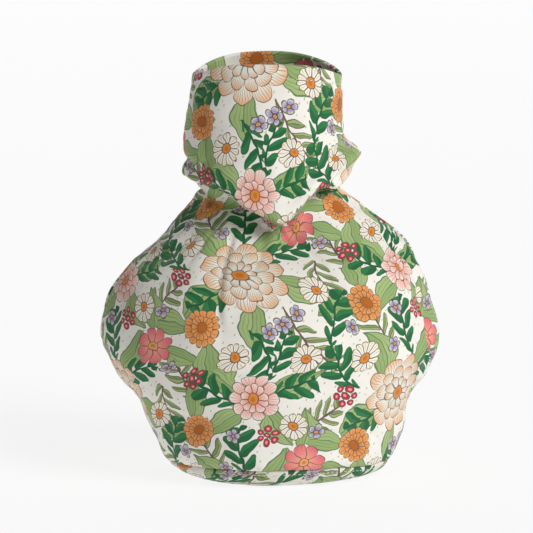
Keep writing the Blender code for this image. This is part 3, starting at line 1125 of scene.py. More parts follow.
@dataclass(frozen=True)
class Stitching:
    """Lines of small stitches on the cloth, laid by Geometry Nodes along guide lines."""

    name: str
    pitch: float = 3.0
    length: float = 2.2
    thickness: float = 0.42
    stand: float = 0.02

    @property
    def sizes(self) -> dict:
        """The tree's inputs for sizes, in millimetres."""
        return {"Pitch": self.pitch, "Length": self.length, "Thickness": self.thickness}

    def tree(self, material: bpy.types.Material) -> bpy.types.NodeTree:
        """The node tree that turns guide lines into stitches.

        Args:
            material: the finish of the thread.

        Returns:
            The tree, with an input for the guide lines and one for each size.
        """
        tree = bpy.data.node_groups.new(self.name, "GeometryNodeTree")
        face = tree.interface
        face.new_socket("Geometry", in_out="INPUT", socket_type="NodeSocketGeometry")
        for label in self.sizes:
            face.new_socket(label, in_out="INPUT", socket_type="NodeSocketFloat")
        face.new_socket("Geometry", in_out="OUTPUT", socket_type="NodeSocketGeometry")
        given = add_node(tree, "NodeGroupInput").outputs
        line = add_node(tree, "GeometryNodeMeshToCurve", {0: given["Geometry"]})
        points = {"Curve": line.outputs[0], "Length": given["Pitch"]}
        spaced = add_node(tree, "GeometryNodeResampleCurve", points, mode="LENGTH")
        thread = add_node(tree, "GeometryNodeMeshIcoSphere", {"Radius": 0.5, "Subdivisions": 1})
        wide = given["Thickness"]
        size = add_node(tree, "ShaderNodeCombineXYZ", {"X": given["Length"], "Y": wide, "Z": wide})
        tangent = add_node(tree, "GeometryNodeInputTangent")
        kind = "GeometryNodeInputNamedAttribute"
        outward = add_node(tree, kind, {"Name": "outward"}, data_type="FLOAT_VECTOR")
        axes = {"Primary Axis": tangent.outputs[0], "Secondary Axis": outward.outputs[0]}
        kind = "FunctionNodeAxesToRotation"
        along = add_node(tree, kind, axes, primary_axis="X", secondary_axis="Z")
        stitches = {
            "Points": spaced.outputs[0],
            "Instance": thread.outputs["Mesh"],
            "Rotation": along.outputs[0],
            "Scale": size.outputs[0],
        }
        placed = add_node(tree, "GeometryNodeInstanceOnPoints", stitches)
        real = add_node(tree, "GeometryNodeRealizeInstances", {0: placed.outputs[0]})
        dressed = {"Geometry": real.outputs[0], "Material": material}
        finish = add_node(tree, "GeometryNodeSetMaterial", dressed)
        add_node(tree, "NodeGroupOutput", {0: finish.outputs[0]})
        return tree

    def build(
        self, lines: list, middle: np.ndarray, material: bpy.types.Material
    ) -> bpy.types.Object:
        """Lay the stitches.

        Args:
            lines: the turns and levels of the points of each guide line.
            middle: the point in millimetres that the frame's origin lies on.
            material: the finish of the thread.

        Returns:
            All the stitches as one piece, at the origin.
        """
        places = []
        outward = []
        edges = []
        for turns, levels in lines:
            normal = COSY.normals(COSY.outside, turns, levels)
            edges += [(len(places) + k, len(places) + k + 1) for k in range(len(turns) - 1)]
            places += list((COSY.outside(turns, levels) + normal * self.stand - middle) * MM)
            outward += list(normal)
        guide = bpy.data.meshes.new(self.name + "_guide")
        guide.from_pydata([tuple(place) for place in places], edges, [])
        normals = guide.attributes.new("outward", "FLOAT_VECTOR", "POINT")
        normals.data.foreach_set("vector", np.array(outward, dtype=np.float32).ravel())
        piece = add_object(self.name, guide)
        modifier = piece.modifiers.new("stitches", "NODES")
        modifier.node_group = self.tree(material)
        for item in modifier.node_group.interface.items_tree:
            if item.in_out == "INPUT" and item.name in self.sizes:
                modifier[item.identifier] = self.sizes[item.name] * MM
        graph = bpy.context.evaluated_depsgraph_get()
        baked = bpy.data.meshes.new_from_object(piece.evaluated_get(graph))
        baked.name = self.name
        piece.modifiers.clear()
        piece.data = baked
        bpy.data.meshes.remove(guide)
        baked.shade_smooth()
        return piece


def srgb(text: str) -> tuple:
    """The linear colour of a web colour such as #F0EDE6.

    Args:
        text: the web colour.

    Returns:
        Red, green, blue and an alpha of 1.
    """
    shares = [int(text[at : at + 2], 16) / 255 for at in (1, 3, 5)]
    linear = [s / 12.92 if s <= 0.04045 else ((s + 0.055) / 1.055) ** 2.4 for s in shares]
    return (*linear, 1.0)


class Ink(Enum):
    """The inks of the print."""

    GROUND = "#F1EDE4"
    IVORY = "#F4F0E4"
    CREAM = "#F3E3C8"
    APRICOT = "#EDA869"
    ORANGE = "#DD8A38"
    RUST = "#B4641F"
    CORAL = "#F2A08B"
    ROSE = "#E0657A"
    CRIMSON = "#BE2549"
    SAGE = "#A6BC7C"
    FERN = "#8CA766"
    MOSS = "#809A5E"
    LEAF = "#2F7A46"
    BOTTLE = "#20603A"
    LILAC = "#A29DBC"
    VEIN = "#66805F"
    GREY_LINE = "#8D9A84"
    OUTLINE = "#6A5750"

    @property
    def colour(self) -> tuple:
        """The ink as a linear colour."""
        return srgb(self.value)


def by_maths(operation: str) -> Callable:
    """A method that works out one number of the shader with another.

    Args:
        operation: the Math node's operation.

    Returns:
        The method, which takes a Scalar or a plain number.
    """

    def method(self: "Scalar", other: Any) -> "Scalar":
        """A Math node on the two numbers."""
        return maths(self.tree, operation, self, other)

    return method


@dataclass(frozen=True)
class Scalar:
    """A number that the shader works out at each point of the cloth."""

    tree: bpy.types.NodeTree
    socket: bpy.types.NodeSocket

    __add__ = by_maths("ADD")
    __sub__ = by_maths("SUBTRACT")
    __mul__ = by_maths("MULTIPLY")
    __truediv__ = by_maths("DIVIDE")
    at_least = by_maths("MAXIMUM")
    at_most = by_maths("MINIMUM")

    def __abs__(self) -> "Scalar":
        """The number without its sign."""
        return maths(self.tree, "ABSOLUTE", self)

    def root(self) -> "Scalar":
        """The square root, and 0 below 0."""
        return maths(self.tree, "SQRT", self)

    def part(self) -> "Scalar":
        """What is left above the whole number."""
        return maths(self.tree, "FRACT", self)

    def wrap(self, half: float) -> "Scalar":
        """The same place in a pattern that repeats every two halves, from -half to half."""
        return maths(self.tree, "WRAP", self, half, -half)

    def fold(self, scale: float) -> "Scalar":
        """A zigzag between 0 and scale."""
        return maths(self.tree, "PINGPONG", self, scale)

    def times_plus(self, factor: Any, addend: Any, clamp: bool = False) -> "Scalar":
        """This times a factor, plus an addend."""
        return maths(self.tree, "MULTIPLY_ADD", self, factor, addend, clamp=clamp)

    def below(self, edge: float, soft: float = 0.01) -> "Scalar":
        """1 below the edge and 0 above it, with a soft step between."""
        return self.times_plus(-1 / soft, edge / soft + 0.5, clamp=True)

    def ramp(self, low: float, high: float) -> "Scalar":
        """0 below low, rising to 1 at high."""
        return self.times_plus(1 / (high - low), -low / (high - low), clamp=True)


def plug(tree: bpy.types.NodeTree, node: bpy.types.Node, values: dict) -> None:
    """Put values into the inputs of a node.

    Args:
        tree: the node's tree.
        node: the node.
        values: a number, a vector, a colour, a socket or a Scalar for each input, which is given
            by its name or its number.
    """
    for key, value in values.items():
        source = value.socket if isinstance(value, Scalar) else value
        if isinstance(source, bpy.types.NodeSocket):
            tree.links.new(source, node.inputs[key])
        else:
            node.inputs[key].default_value = source


def add_node(
    tree: bpy.types.NodeTree, kind: str, values: dict | None = None, **settings: Any
) -> bpy.types.Node:
    """Add a node to a tree.

    Args:
        tree: the tree.
        kind: Blender's name for this kind of node.
        values: what goes into its inputs.
        settings: the node's own settings, which are set first.

    Returns:
        The node.
    """
    node = tree.nodes.new(kind)
    for name, setting in settings.items():
        setattr(node, name, setting)
    plug(tree, node, values or {})
    return node


def maths(tree: bpy.types.NodeTree, operation: str, *values: Any, clamp: bool = False) -> Scalar:
    """A Math node on these values.

    Args:
        tree: the node tree.
        operation: the node's operation.
        values: what goes into its inputs.
        clamp: whether the result is kept between 0 and 1.

    Returns:
        The number.
    """
    settings = {"operation": operation, "use_clamp": clamp}
    node = add_node(tree, "ShaderNodeMath", dict(enumerate(values)), **settings)
    return Scalar(tree, node.outputs[0])


def vector(tree: bpy.types.NodeTree, operation: str, *values: Any) -> bpy.types.NodeSocket:
    """The vector that a Vector Math node makes of these values."""
    inputs = dict(enumerate(values))
    return add_node(tree, "ShaderNodeVectorMath", inputs, operation=operation).outputs[0]


def measure(tree: bpy.types.NodeTree, operation: str, *values: Any) -> Scalar:
    """The number that a Vector Math node makes of these values.

    Args:
        tree: the node tree.
        operation: the node's operation.
        values: what goes into its inputs.

    Returns:
        The number.
    """
    inputs = dict(enumerate(values))
    node = add_node(tree, "ShaderNodeVectorMath", inputs, operation=operation)
    return Scalar(tree, node.outputs["Value"])


def scaled(
    tree: bpy.types.NodeTree, given: bpy.types.NodeSocket, factor: Any
) -> bpy.types.NodeSocket:
    """A vector or a colour times a number."""
    inputs = {0: given, "Scale": factor}
    return add_node(tree, "ShaderNodeVectorMath", inputs, operation="SCALE").outputs[0]


def flat_vector(tree: bpy.types.NodeTree, x: Any, y: Any) -> bpy.types.NodeSocket:
    """The vector of two numbers and 0."""
    return add_node(tree, "ShaderNodeCombineXYZ", {"X": x, "Y": y}).outputs[0]


def flat_parts(tree: bpy.types.NodeTree, given: bpy.types.NodeSocket) -> tuple:
    """The first two numbers of a vector."""
    parts = add_node(tree, "ShaderNodeSeparateXYZ", {0: given}).outputs
    return Scalar(tree, parts["X"]), Scalar(tree, parts["Y"])


def bumped(tree: bpy.types.NodeTree, height: Any, strength: float) -> bpy.types.NodeSocket:
    """The normal of a surface with a fine relief."""
    inputs = {"Strength": strength, "Distance": BUMP_DEPTH, "Height": height}
    return add_node(tree, "ShaderNodeBump", inputs).outputs[0]


def new_material(name: str) -> tuple:
    """Make a material.

    Args:
        name: its name.

    Returns:
        The material, its node tree and its shader.
    """
    material = bpy.data.materials.new(name)
    material.use_nodes = True
    return material, material.node_tree, material.node_tree.nodes["Principled BSDF"]


class Spot(NamedTuple):
    """Where one motif stands in the repeat: millimetres, its size, and degrees anticlockwise."""

    x: float
    y: float
    size: float
    turn: float = 0.0


@dataclass(frozen=True)
class Place:
    """The cloth round the nearest spot of a motif, in sizes of the motif."""

    x: Scalar
    y: Scalar
    reach: Scalar

    def bearing(self) -> Scalar:
        """The angle at which a point lies from the middle of the spot."""
        return maths(self.x.tree, "ARCTAN2", self.y, self.x)


@dataclass
class Canvas:
    """The printed cloth while it is being drawn: the colour so far, and the place on it."""

    tree: bpy.types.NodeTree
    skewed: bpy.types.NodeSocket
    colour: bpy.types.NodeSocket
    width: float = 100.0
    height: float = 160.0

    @property
    def drop(self) -> float:
        """How far the repeat drops for each millimetre across."""
        return self.height / 2 / self.width

    def paint(self, mask: Scalar, ink: Ink) -> None:
        """Print an ink where the mask is 1.

        Args:
            mask: where to print, from 0 to 1.
            ink: the ink.
        """
        inputs = {"Factor": mask, "A": self.colour, "B": ink.colour}
        printed = add_node(self.tree, "ShaderNodeMix", inputs, data_type="RGBA")
        self.colour = printed.outputs["Result"]

    def seen_from(self, spot: Spot) -> bpy.types.NodeSocket:
        """The place of each point of the cloth relative to one spot of a motif.

        The repeat is skewed upright, so that the half-drop wraps like plain squares. What is left
        is then turned and scaled by two dot products, which undo the skew as well.

        Args:
            spot: the spot.

        Returns:
            The place, in sizes of the motif.
        """
        centre = (spot.x, spot.y - spot.x * self.drop, 0)
        half = (self.width / 2, self.height / 2, 1)
        low = tuple(-side for side in half)
        away = vector(self.tree, "SUBTRACT", self.skewed, centre)
        near = vector(self.tree, "WRAP", away, half, low)
        cosine = math.cos(math.radians(spot.turn)) / spot.size
        sine = math.sin(math.radians(spot.turn)) / spot.size
        x = measure(self.tree, "DOT_PRODUCT", near, (cosine + sine * self.drop, sine, 0))
        y = measure(self.tree, "DOT_PRODUCT", near, (cosine * self.drop - sine, cosine, 0))
        return flat_vector(self.tree, x, y)

    def nearest(self, spots: tuple) -> Place:
        """The place of each point of the cloth relative to the nearest of these spots.

        Args:
            spots: the spots of one motif.

        Returns:
            The place, in sizes of the motif.
        """
        best = self.seen_from(spots[0])
        reach = measure(self.tree, "LENGTH", best)
        for spot in spots[1:]:
            place = self.seen_from(spot)
            away = measure(self.tree, "LENGTH", place)
            choice = {"Factor": maths(self.tree, "LESS_THAN", away, reach), 4: best, 5: place}
            best = add_node(self.tree, "ShaderNodeMix", choice, data_type="VECTOR").outputs[1]
            reach = away.at_most(reach)
        return Place(*flat_parts(self.tree, best), reach)


@dataclass(frozen=True)
class Flower:
    """An open flower: one or more rings of equal petals, the largest at the back, round an eye."""

    spots: tuple
    petals: int
    notch: float
    petal: Ink
    tip: Ink
    tip_from: float
    line: Ink
    veins: float
    eye: Ink
    eye_size: float
    outline: float = 0.02
    rings: tuple = (1.0,)
    vein_strength: float = 0.6
    tip_strength: float = 0.9
    heart_size: float = 0.45
    heart_strength: float = 0.6

    def draw(self, canvas: Canvas) -> None:
        """Print the rings of petals and the eye.

        Args:
            canvas: the cloth.
        """
        place = canvas.nearest(self.spots)
        for number, size in enumerate(self.rings):
            self.draw_ring(canvas, place, size, number * math.pi / self.petals)
        self.draw_eye(canvas, place)

    def draw_ring(self, canvas: Canvas, place: Place, size: float, twist: float) -> None:
        """Print one ring of petals.

        Args:
            canvas: the cloth.
            place: the place relative to the flower.
            size: how far the ring reaches, as a share of the flower.
            twist: how far the ring is turned, in radians.
        """
        half = math.pi / self.petals
        bearing = place.bearing() + twist if twist else place.bearing()
        across = abs(bearing.wrap(half)) * (1 / half)
        rounding = (across * across).times_plus(-1.0, 1.0).root()
        edge = rounding.times_plus(size * (1 - self.notch), size * self.notch)
        away = place.reach - edge
        inside = away.below(0)
        canvas.paint(inside, self.petal)
        blush = (place.reach * (1 / size)).ramp(self.tip_from, 1.0) * inside
        canvas.paint(blush * self.tip_strength, self.tip)
        veins = (across * self.veins).fold(0.5).below(0.1, 0.1)
        fade = place.reach.ramp(size * 0.2, size * 0.45) * away.below(-0.04 * size, 0.1)
        canvas.paint(veins * fade * self.vein_strength, self.line)
        gap = across.times_plus(-half, half) * place.reach
        lines = abs(away).at_most(gap).below(self.outline) * away.below(self.outline)
        canvas.paint(lines, Ink.OUTLINE)

    def draw_eye(self, canvas: Canvas, place: Place) -> None:
        """Print the eye and its ring.

        Args:
            canvas: the cloth.
            place: the place relative to the flower.
        """
        canvas.paint(place.reach.below(self.eye_size), self.eye)
        ring = abs(place.reach - self.eye_size).below(self.outline)
        canvas.paint(ring, Ink.OUTLINE)
        heart = place.reach.below(self.eye_size * self.heart_size, 0.03)
        canvas.paint(heart * self.heart_strength, Ink.RUST)


@dataclass(frozen=True)
class Leaf:
    """A broad leaf with veins that run its whole length."""

    spots: tuple
    leaf: Ink
    shade: Ink
    line: Ink
    breadth: float = 0.5
    bow: float = 0.22
    veins: float = 3.0
    outline: float = 0.028
    narrowing: float = 0.35
    shade_strength: float = 0.6
    vein_strength: float = 0.65

    def draw(self, canvas: Canvas) -> None:
        """Print the leaf, its shaded half, its veins and its outline.

        Args:
            canvas: the cloth.
        """
        place = canvas.nearest(self.spots)
        bent = (place.y * place.y).times_plus(self.bow, place.x) - self.bow * 0.4
        taper = (place.y * place.y).times_plus(-1.0, 1.0).at_least(0.0001)
        wider_foot = place.y.times_plus(-self.narrowing, 1.0)
        swell = taper * wider_foot * self.breadth
        away = abs(bent) - swell
        inside = away.below(0) * place.reach.below(1.25)
        canvas.paint(inside, self.leaf)
        canvas.paint(inside * bent.below(0) * self.shade_strength, self.shade)
        share = abs(bent) / swell
        veins = (share * self.veins).fold(0.5).below(0.09, 0.12) * share.ramp(0.0, 0.25)
        rib = abs(bent).below(self.outline * 0.8)
        canvas.paint((veins * self.vein_strength).at_least(rib) * inside, self.line)
        canvas.paint(abs(away).below(self.outline) * abs(place.y).below(1.0), self.line)


@dataclass(frozen=True)
class Spray:
    """A curved stem with leaves up both sides."""

    spots: tuple
    leaf: Ink
    shade: Ink
    line: Ink
    pitch: float
    slope: float
    length: float
    breadth: float
    bow: float
    stem: float
    outline: float = 0.012
    shade_strength: float = 0.75

    def draw(self, canvas: Canvas) -> None:
        """Print the stem and its leaves.

        Args:
            canvas: the cloth.
        """
        place = canvas.nearest(self.spots)
        bent = (place.y * place.y).times_plus(self.bow, place.x)
        side = abs(bent)
        right = maths(canvas.tree, "GREATER_THAN", bent, 0.0) * 0.5
        up = side.times_plus(-self.slope, place.y)
        across = up.times_plus(1 / self.pitch, right).part().times_plus(self.pitch, -self.pitch / 2)
        reach = (up * up).times_plus(-self.length, self.length).at_least(0.001)
        share = side / reach
        swell = (share * share.times_plus(-1.0, 1.0)).root() * (2 * self.breadth)
        away = abs(across) - swell
        on_leaf = share.below(1.0)
        leaf = away.below(0) * on_leaf
        canvas.paint(leaf, self.leaf)
        canvas.paint(leaf * across.below(0) * self.shade_strength, self.shade)
        lines = abs(away).below(self.outline)
        rib = abs(across).below(self.outline * 0.8) * share.below(0.8)
        canvas.paint(lines.at_least(rib) * on_leaf, self.line)
        stem = side.below(self.stem) * abs(place.y).below(1.0)
        canvas.paint(stem, self.line)


@dataclass(frozen=True)
class Berries:
    """A round cluster of berries, one in the middle and six round it."""

    spots: tuple
    berry: Ink
    light: Ink
    size: float = 0.25
    ring: float = 0.62
    outline: float = 0.035
    light_size: float = 0.42

    def draw(self, canvas: Canvas) -> None:
        """Print the berries, each with a light on it.

        Args:
            canvas: the cloth.
        """
        place = canvas.nearest(self.spots)
        bearing = place.bearing().wrap(math.pi / 6)
        x = place.reach * maths(canvas.tree, "COSINE", bearing) - self.ring
        y = place.reach * maths(canvas.tree, "SINE", bearing)
        outer = measure(canvas.tree, "LENGTH", flat_vector(canvas.tree, x, y))
        near = outer.at_most(place.reach)
        stalks = abs(y).below(self.outline * 0.8) * place.reach.below(self.ring)
        canvas.paint(stalks, Ink.BOTTLE)
        canvas.paint(near.below(self.size), self.berry)
        canvas.paint(near.below(self.size * self.light_size, 0.05), self.light)
        canvas.paint(abs(near - self.size).below(self.outline), Ink.OUTLINE)


@dataclass(frozen=True)
class Seeds:
    """Small dots scattered over the bare ground."""

    pitch: float
    size: float
    ink: Ink
    disorder: float = 0.6

    def draw(self, canvas: Canvas) -> None:
        """Print the dots.

        Args:
            canvas: the cloth.
        """
        inputs = {"Scale": 1 / self.pitch, "Randomness": self.disorder, "Vector": canvas.skewed}
        dots = add_node(canvas.tree, "ShaderNodeTexVoronoi", inputs, voronoi_dimensions="2D")
        distance = Scalar(canvas.tree, dots.outputs["Distance"])
        canvas.paint(distance.below(self.size / self.pitch, 0.05), self.ink)


LEAF_FOOT = 0.72


def beside(flower: Spot, bearing: float, size: float) -> Spot:
    """The spot of a leaf that grows out from under a flower.

    Args:
        flower: the spot of the flower.
        bearing: the direction in which the leaf points, in degrees.
        size: half the length of the leaf.

    Returns:
        The spot, from which the leaf reaches under the flower's petals.
    """
    away = flower.size * LEAF_FOOT + size
    angle = math.radians(bearing)
    x = flower.x + away * math.cos(angle)
    y = flower.y + away * math.sin(angle)
    return Spot(x, y, size, bearing - 90)


BLOOM = Spot(0, 0, 26, 10)
ASTER = Spot(4, 81, 15, 33)
COSMOS = Spot(34, 37, 12.5, 15)
CALENDULAS = (Spot(-33, -33, 11.5, 50), Spot(-31, 59, 11, 80))

GARDEN = (
    Seeds(5.5, 0.5, Ink.SAGE),
    Spray(
        (
            Spot(-22, 40, 26, 28), Spot(37, 62, 26, -64), Spot(30, -46, 26, -140),
            Spot(-42, 96, 24, 30), Spot(46, -4, 24, 190),
        ),
        Ink.MOSS, Ink.SAGE, Ink.OUTLINE, 0.30, 0.85, 0.42, 0.085, 0.22, 0.022,
    ),
    Leaf(
        (
            beside(BLOOM, 62, 18), beside(BLOOM, 128, 18), beside(BLOOM, 208, 17),
            beside(BLOOM, 342, 18), beside(BLOOM, 268, 16), beside(ASTER, 20, 16),
            beside(ASTER, 150, 16), beside(ASTER, 222, 14), beside(ASTER, 305, 15),
            beside(COSMOS, -20, 13), beside(COSMOS, 88, 14), beside(CALENDULAS[0], 170, 14),
            beside(CALENDULAS[0], 282, 15), beside(CALENDULAS[1], 95, 14),
            beside(CALENDULAS[1], 190, 13),
        ),
        Ink.SAGE, Ink.FERN, Ink.VEIN,
    ),
    Spray(
        (
            Spot(22, 18, 20, -66), Spot(-22, -14, 20, 118), Spot(-4, 44, 20, 8),
            Spot(6, -52, 20, 200), Spot(-20, 84, 19, 62), Spot(28, 88, 19, -70),
            Spot(-48, 18, 20, 40), Spot(47, -30, 20, -20), Spot(12, 108, 18, -12),
        ),
        Ink.LEAF, Ink.BOTTLE, Ink.BOTTLE, 0.46, 0.7, 0.55, 0.18, -0.18, 0.036,
    ),
    Flower(
        (
            Spot(16, -33, 5.2), Spot(25, -27, 4.8), Spot(7, -37, 5), Spot(-14, 33, 4.8),
            Spot(-8, 56, 5), Spot(48, 22, 5.2), Spot(41, 58, 4.8), Spot(-42, 44, 4.8),
        ),
        5, 0.45, Ink.LILAC, Ink.IVORY, 0.55, Ink.LILAC, 1.0, Ink.APRICOT, 0.26, 0.07,
    ),
    Flower(
        (
            Spot(-34, 26, 9.5, 10), Spot(39, -12, 9.5, 40), Spot(27, 62, 9, 5),
            Spot(-14, -52, 9.5, 20), Spot(28, 106, 9, 30),
        ),
        12, 0.72, Ink.IVORY, Ink.CREAM, 0.5, Ink.GREY_LINE, 1.0, Ink.ORANGE, 0.33, 0.03,
    ),
    Berries(
        (Spot(-41, 1, 8.5), Spot(12, 56, 8, 20), Spot(-34, 94, 8.5, 40)),
        Ink.CRIMSON, Ink.CORAL,
    ),
    Flower(
        CALENDULAS,
        14, 0.8, Ink.ORANGE, Ink.APRICOT, 0.5, Ink.RUST, 1.0, Ink.RUST, 0.3, 0.022, (1.0, 0.66),
    ),
    Flower(
        (COSMOS,),
        8, 0.66, Ink.CORAL, Ink.ROSE, 0.4, Ink.CRIMSON, 3.0, Ink.APRICOT, 0.24, 0.02,
    ),
    Flower(
        (ASTER,),
        10, 0.74, Ink.CORAL, Ink.IVORY, 0.4, Ink.CRIMSON, 2.5, Ink.ORANGE, 0.24, 0.018, (1.0, 0.6),
    ),
    Flower(
        (BLOOM,),
        10, 0.7, Ink.IVORY, Ink.APRICOT, 0.66, Ink.VEIN, 4.0, Ink.ORANGE, 0.17, 0.012,
        (1.0, 0.72, 0.44), 0.75,
    ),
)


@dataclass(frozen=True)
class PrintedCotton:
    """Plain-woven cotton with the garden print, over thin wadding."""

    name: str
    # A flat factor on the whole print that paints shade on a piece facing away from the light;
    # white paints none
    painted_shade: tuple = (1.0, 1.0, 1.0, 1.0)
    thread_pitch: float = 0.00045
    weave_bump: float = 0.12
    wander: float = 4.4
    wander_scale: float = 0.09
    wear_scale: float = 90.0
    wear_range: tuple = (0.3, 0.7)
    wear_depth: float = 0.07
    least_tone: float = 0.94
    roughness: float = 0.86
    specular: float = 0.25
    sheen: float = 0.12
    sheen_roughness: float = 0.5

    def make(self) -> bpy.types.Material:
        """Build the material.

        Returns:
            The material.
        """
        material, tree, shader = new_material(self.name)
        cloth = add_node(tree, "ShaderNodeUVMap", uv_map="Cloth").outputs[0]
        canvas = self.lay_out(tree, cloth)
        for motif in GARDEN:
            motif.draw(canvas)
        surface = {
            "Base Color": scaled(tree, self.with_painted_shade(canvas), self.tone(tree, cloth)),
            "Roughness": self.roughness,
            "Specular IOR Level": self.specular,
            "Sheen Weight": self.sheen,
            "Sheen Roughness": self.sheen_roughness,
            "Normal": bumped(tree, self.weave(tree, cloth), self.weave_bump),
        }
        plug(tree, shader, surface)
        return material

    def lay_out(self, tree: bpy.types.NodeTree, cloth: bpy.types.NodeSocket) -> Canvas:
        """Measure the cloth in millimetres, let the drawing wander a little, and skew it.

        Args:
            tree: the material's tree.
            cloth: the place on the flat cloth, in metres.

        Returns:
            The bare canvas.
        """
        flat = scaled(tree, cloth, 1 / MM)
        inputs = {"Scale": self.wander_scale, "Detail": 1.0, "Vector": flat}
        noise = add_node(tree, "ShaderNodeTexNoise", inputs, noise_dimensions="2D")
        drift = vector(tree, "SUBTRACT", noise.outputs["Color"], (0.5, 0.5, 0.5))
        moved = vector(tree, "MULTIPLY_ADD", drift, (self.wander,) * 3, flat)
        ground = add_node(tree, "ShaderNodeRGB")
        ground.outputs[0].default_value = Ink.GROUND.colour
        canvas = Canvas(tree, moved, ground.outputs[0])
        down = measure(tree, "DOT_PRODUCT", moved, (-canvas.drop, 1, 0))
        canvas.skewed = flat_vector(tree, flat_parts(tree, moved)[0], down)
        return canvas

    def with_painted_shade(self, canvas: Canvas) -> bpy.types.NodeSocket:
        """The print darkened by the piece's flat factor of painted shade, which is none at white.

        Args:
            canvas: the printed cloth.

        Returns:
            The colour.
        """
        inputs = {"Factor": 1.0, "A": canvas.colour, "B": self.painted_shade}
        settings = {"data_type": "RGBA", "blend_type": "MULTIPLY"}
        return add_node(canvas.tree, "ShaderNodeMix", inputs, **settings).outputs["Result"]

    def tone(self, tree: bpy.types.NodeTree, cloth: bpy.types.NodeSocket) -> Scalar:
        """How much of its colour each place keeps, a little uneven.

        Args:
            tree: the material's tree.
            cloth: the place on the flat cloth, in metres.

        Returns:
            The share at each place.
        """
        inputs = {"Scale": self.wear_scale, "Detail": 4.0, "Vector": cloth}
        worn = Scalar(tree, add_node(tree, "ShaderNodeTexNoise", inputs).outputs["Fac"])
        return worn.ramp(*self.wear_range).times_plus(self.wear_depth, self.least_tone)

    def weave(self, tree: bpy.types.NodeTree, cloth: bpy.types.NodeSocket) -> Scalar:
        """The height of the threads, over and under each other."""
        warp, weft = (part * (math.pi / self.thread_pitch) for part in flat_parts(tree, cloth))
        return maths(tree, "SINE", warp) * maths(tree, "SINE", weft)


@dataclass(frozen=True)
class SewingThread:
    """Matt cotton thread in the colour of the bare ground, with the twist of its plies."""

    name: str
    ink: Ink = Ink.GROUND
    shade: float = 0.8
    slub_scale: float = 700.0
    slub_range: tuple = (0.35, 0.75)
    twist_pitch: float = 0.0006
    bands_per_unit: float = 0.31
    twist_bump: float = 0.4
    roughness: float = 0.7
    specular: float = 0.3

    def make(self) -> bpy.types.Material:
        """Build the material.

        Returns:
            The material.
        """
        material, tree, shader = new_material(self.name)
        place = add_node(tree, "ShaderNodeTexCoord").outputs["Object"]
        slub = add_node(tree, "ShaderNodeTexNoise", {"Scale": self.slub_scale, "Vector": place})
        light = self.ink.colour
        dark = (*(self.shade * share for share in light[:3]), 1.0)
        share = Scalar(tree, slub.outputs["Fac"]).ramp(*self.slub_range)
        inputs = {"A": light, "B": dark, "Factor": share}
        mixed = add_node(tree, "ShaderNodeMix", inputs, data_type="RGBA")
        inputs = {"Scale": self.bands_per_unit / self.twist_pitch, "Vector": place}
        twist = add_node(tree, "ShaderNodeTexWave", inputs, bands_direction="DIAGONAL")
        surface = {
            "Base Color": mixed.outputs["Result"],
            "Roughness": self.roughness,
            "Specular IOR Level": self.specular,
            "Normal": bumped(tree, twist.outputs["Fac"], self.twist_bump),
        }
        plug(tree, shader, surface)
        return material


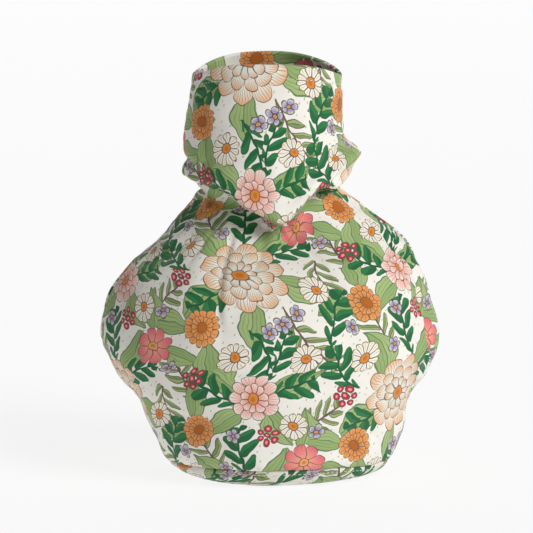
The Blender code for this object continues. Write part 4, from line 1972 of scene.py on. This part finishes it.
@dataclass(frozen=True)
class Studio:
    """A pale floor, soft light and a camera at the photo's angle."""

    elevation: float = 9.0
    distance: float = 2.45
    lens: float = 276.0
    sensor: float = 36.0
    far: float = 50.0
    aim_height: float = 0.1235
    sky: float = 0.07
    key: float = 2.55
    key_softness: float = 30.0
    key_elevation: float = 38.0
    key_turn: float = 48.0
    paper: float = 0.12
    paper_glow: float = 0.855
    sweep_radius: float = 1.6
    sweep_back: float = 3.5
    sweep_front: float = 6.0
    sweep_half: float = 8.0
    sweep_height: float = 5.0
    sweep_steps: int = 24

    def sweep(self) -> None:
        """A floor that curves up into a backdrop far behind."""
        radius = self.sweep_radius
        arc = [
            (self.sweep_back + radius * math.sin(a), radius - radius * math.cos(a))
            for a in np.linspace(0, math.pi / 2, self.sweep_steps)
        ]
        profile = [(-self.sweep_front, 0.0), *arc, (self.sweep_back + radius, self.sweep_height)]
        points = [(x, y, z) for y, z in profile for x in (-self.sweep_half, self.sweep_half)]
        faces = [(k, k + 1, k + 3, k + 2) for k in range(0, len(points) - 2, 2)]
        mesh = bpy.data.meshes.new("sweep")
        mesh.from_pydata(points, [], faces)
        mesh.shade_smooth()
        material, tree, shader = new_material("paper")
        surface = {
            "Base Color": (*(self.paper,) * 3, 1),
            "Emission Color": WHITE,
            "Emission Strength": self.paper_glow,
            "Roughness": 0.95,
            "Specular IOR Level": 0.1,
        }
        plug(tree, shader, surface)
        mesh.materials.append(material)
        add_object("sweep", mesh)

    def sun(self) -> None:
        """One wide, soft light from the right, in front."""
        data = bpy.data.lights.new("key", "SUN")
        data.energy = self.key
        data.angle = math.radians(self.key_softness)
        lamp = add_object("key", data)
        rise = math.radians(self.key_elevation)
        turn = math.radians(self.key_turn)
        towards = Vector(
            (math.cos(rise) * math.sin(turn), -math.cos(rise) * math.cos(turn), math.sin(rise))
        )
        lamp.rotation_euler = (-towards).to_track_quat("-Z", "Y").to_euler()

    def camera(self, middle: np.ndarray) -> None:
        """A long lens, a little above the cosy, on the line of its neck.

        Args:
            middle: the point in millimetres that the frame's origin lies on.
        """
        angle = math.radians(self.elevation)
        back = Vector((0, -math.cos(angle), math.sin(angle)))
        data = bpy.data.cameras.new("camera")
        data.lens = self.lens
        data.sensor_width = self.sensor
        data.clip_end = self.far
        camera = add_object("camera", data)
        aim = Vector((-middle[0] * MM, -middle[1] * MM, self.aim_height))
        camera.location = aim + back * self.distance
        camera.rotation_euler = (-back).to_track_quat("-Z", "Y").to_euler()
        bpy.context.scene.camera = camera

    def make(self, middle: np.ndarray) -> None:
        """Set up floor, light and camera.

        Args:
            middle: the point in millimetres that the frame's origin lies on.
        """
        self.sweep()
        world = bpy.data.worlds.new("world")
        world.use_nodes = True
        background = world.node_tree.nodes["Background"]
        plug(world.node_tree, background, {"Color": WHITE, "Strength": self.sky})
        bpy.context.scene.world = world
        self.sun()
        bpy.context.scene.view_settings.view_transform = "Standard"
        self.camera(middle)


def middle_of(pieces: list) -> np.ndarray:
    """The point that the frame's origin lies on, from the box of the cloth itself.

    Args:
        pieces: the pieces of cloth.

    Returns:
        The point, in millimetres.
    """
    points = np.concatenate([COSY.outside(*piece.grid()).reshape(-1, 3) for piece in pieces])
    middle = (points.min(axis=0) + points.max(axis=0)) / 2
    middle[2] = 0
    return middle


def main() -> None:
    """Make the cloth, dress the frame with it, and set up the studio."""
    pieces = [
        Panel(
            node="front_panel", slot="printed_cotton", flat_size=(0.29, 0.32), flat_area=0.0547,
            held="gathered", print_shift=(0.012, 0.031), rows=214, columns=198, side=Side.FRONT,
        ),
        Panel(
            node="back_panel", slot="printed_cotton", flat_size=(0.29, 0.32), flat_area=0.053,
            held="gathered", print_shift=(0.061, 0.087), rows=214, columns=198, side=Side.BACK,
        ),
        BaseBand(
            node="base_band", slot="band_cotton", flat_size=(0.42, 0.036), flat_area=0.0109,
            held="stretched", print_shift=(0.037, 0.011), rows=36, columns=400, closed=True,
        ),
    ]
    middle = middle_of(pieces)
    log.info("the origin lies on %s mm", middle.round(2))
    printed = PrintedCotton("printed_cotton").make()
    # The band's print is darkened by a flat factor, painted shade for the band that faces down and
    # turns under
    band = PrintedCotton("band_cotton", painted_shade=(0.86, 0.86, 0.84, 1.0)).make()
    thread = SewingThread("sewing_thread").make()
    for piece in pieces:
        cloth = piece.build(middle, band if piece.closed else printed)
        stitches = Stitching(piece.node + "_stitches").build(piece.stitch_lines(), middle, thread)
        for part in (cloth, stitches):
            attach(part, "root")
            log.info("%s: %d faces", part.name, len(part.data.polygons))
        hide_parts(piece.node)
    Studio().make(middle)


if __name__ == "__main__":
    logging.basicConfig(level=logging.INFO)
    main()
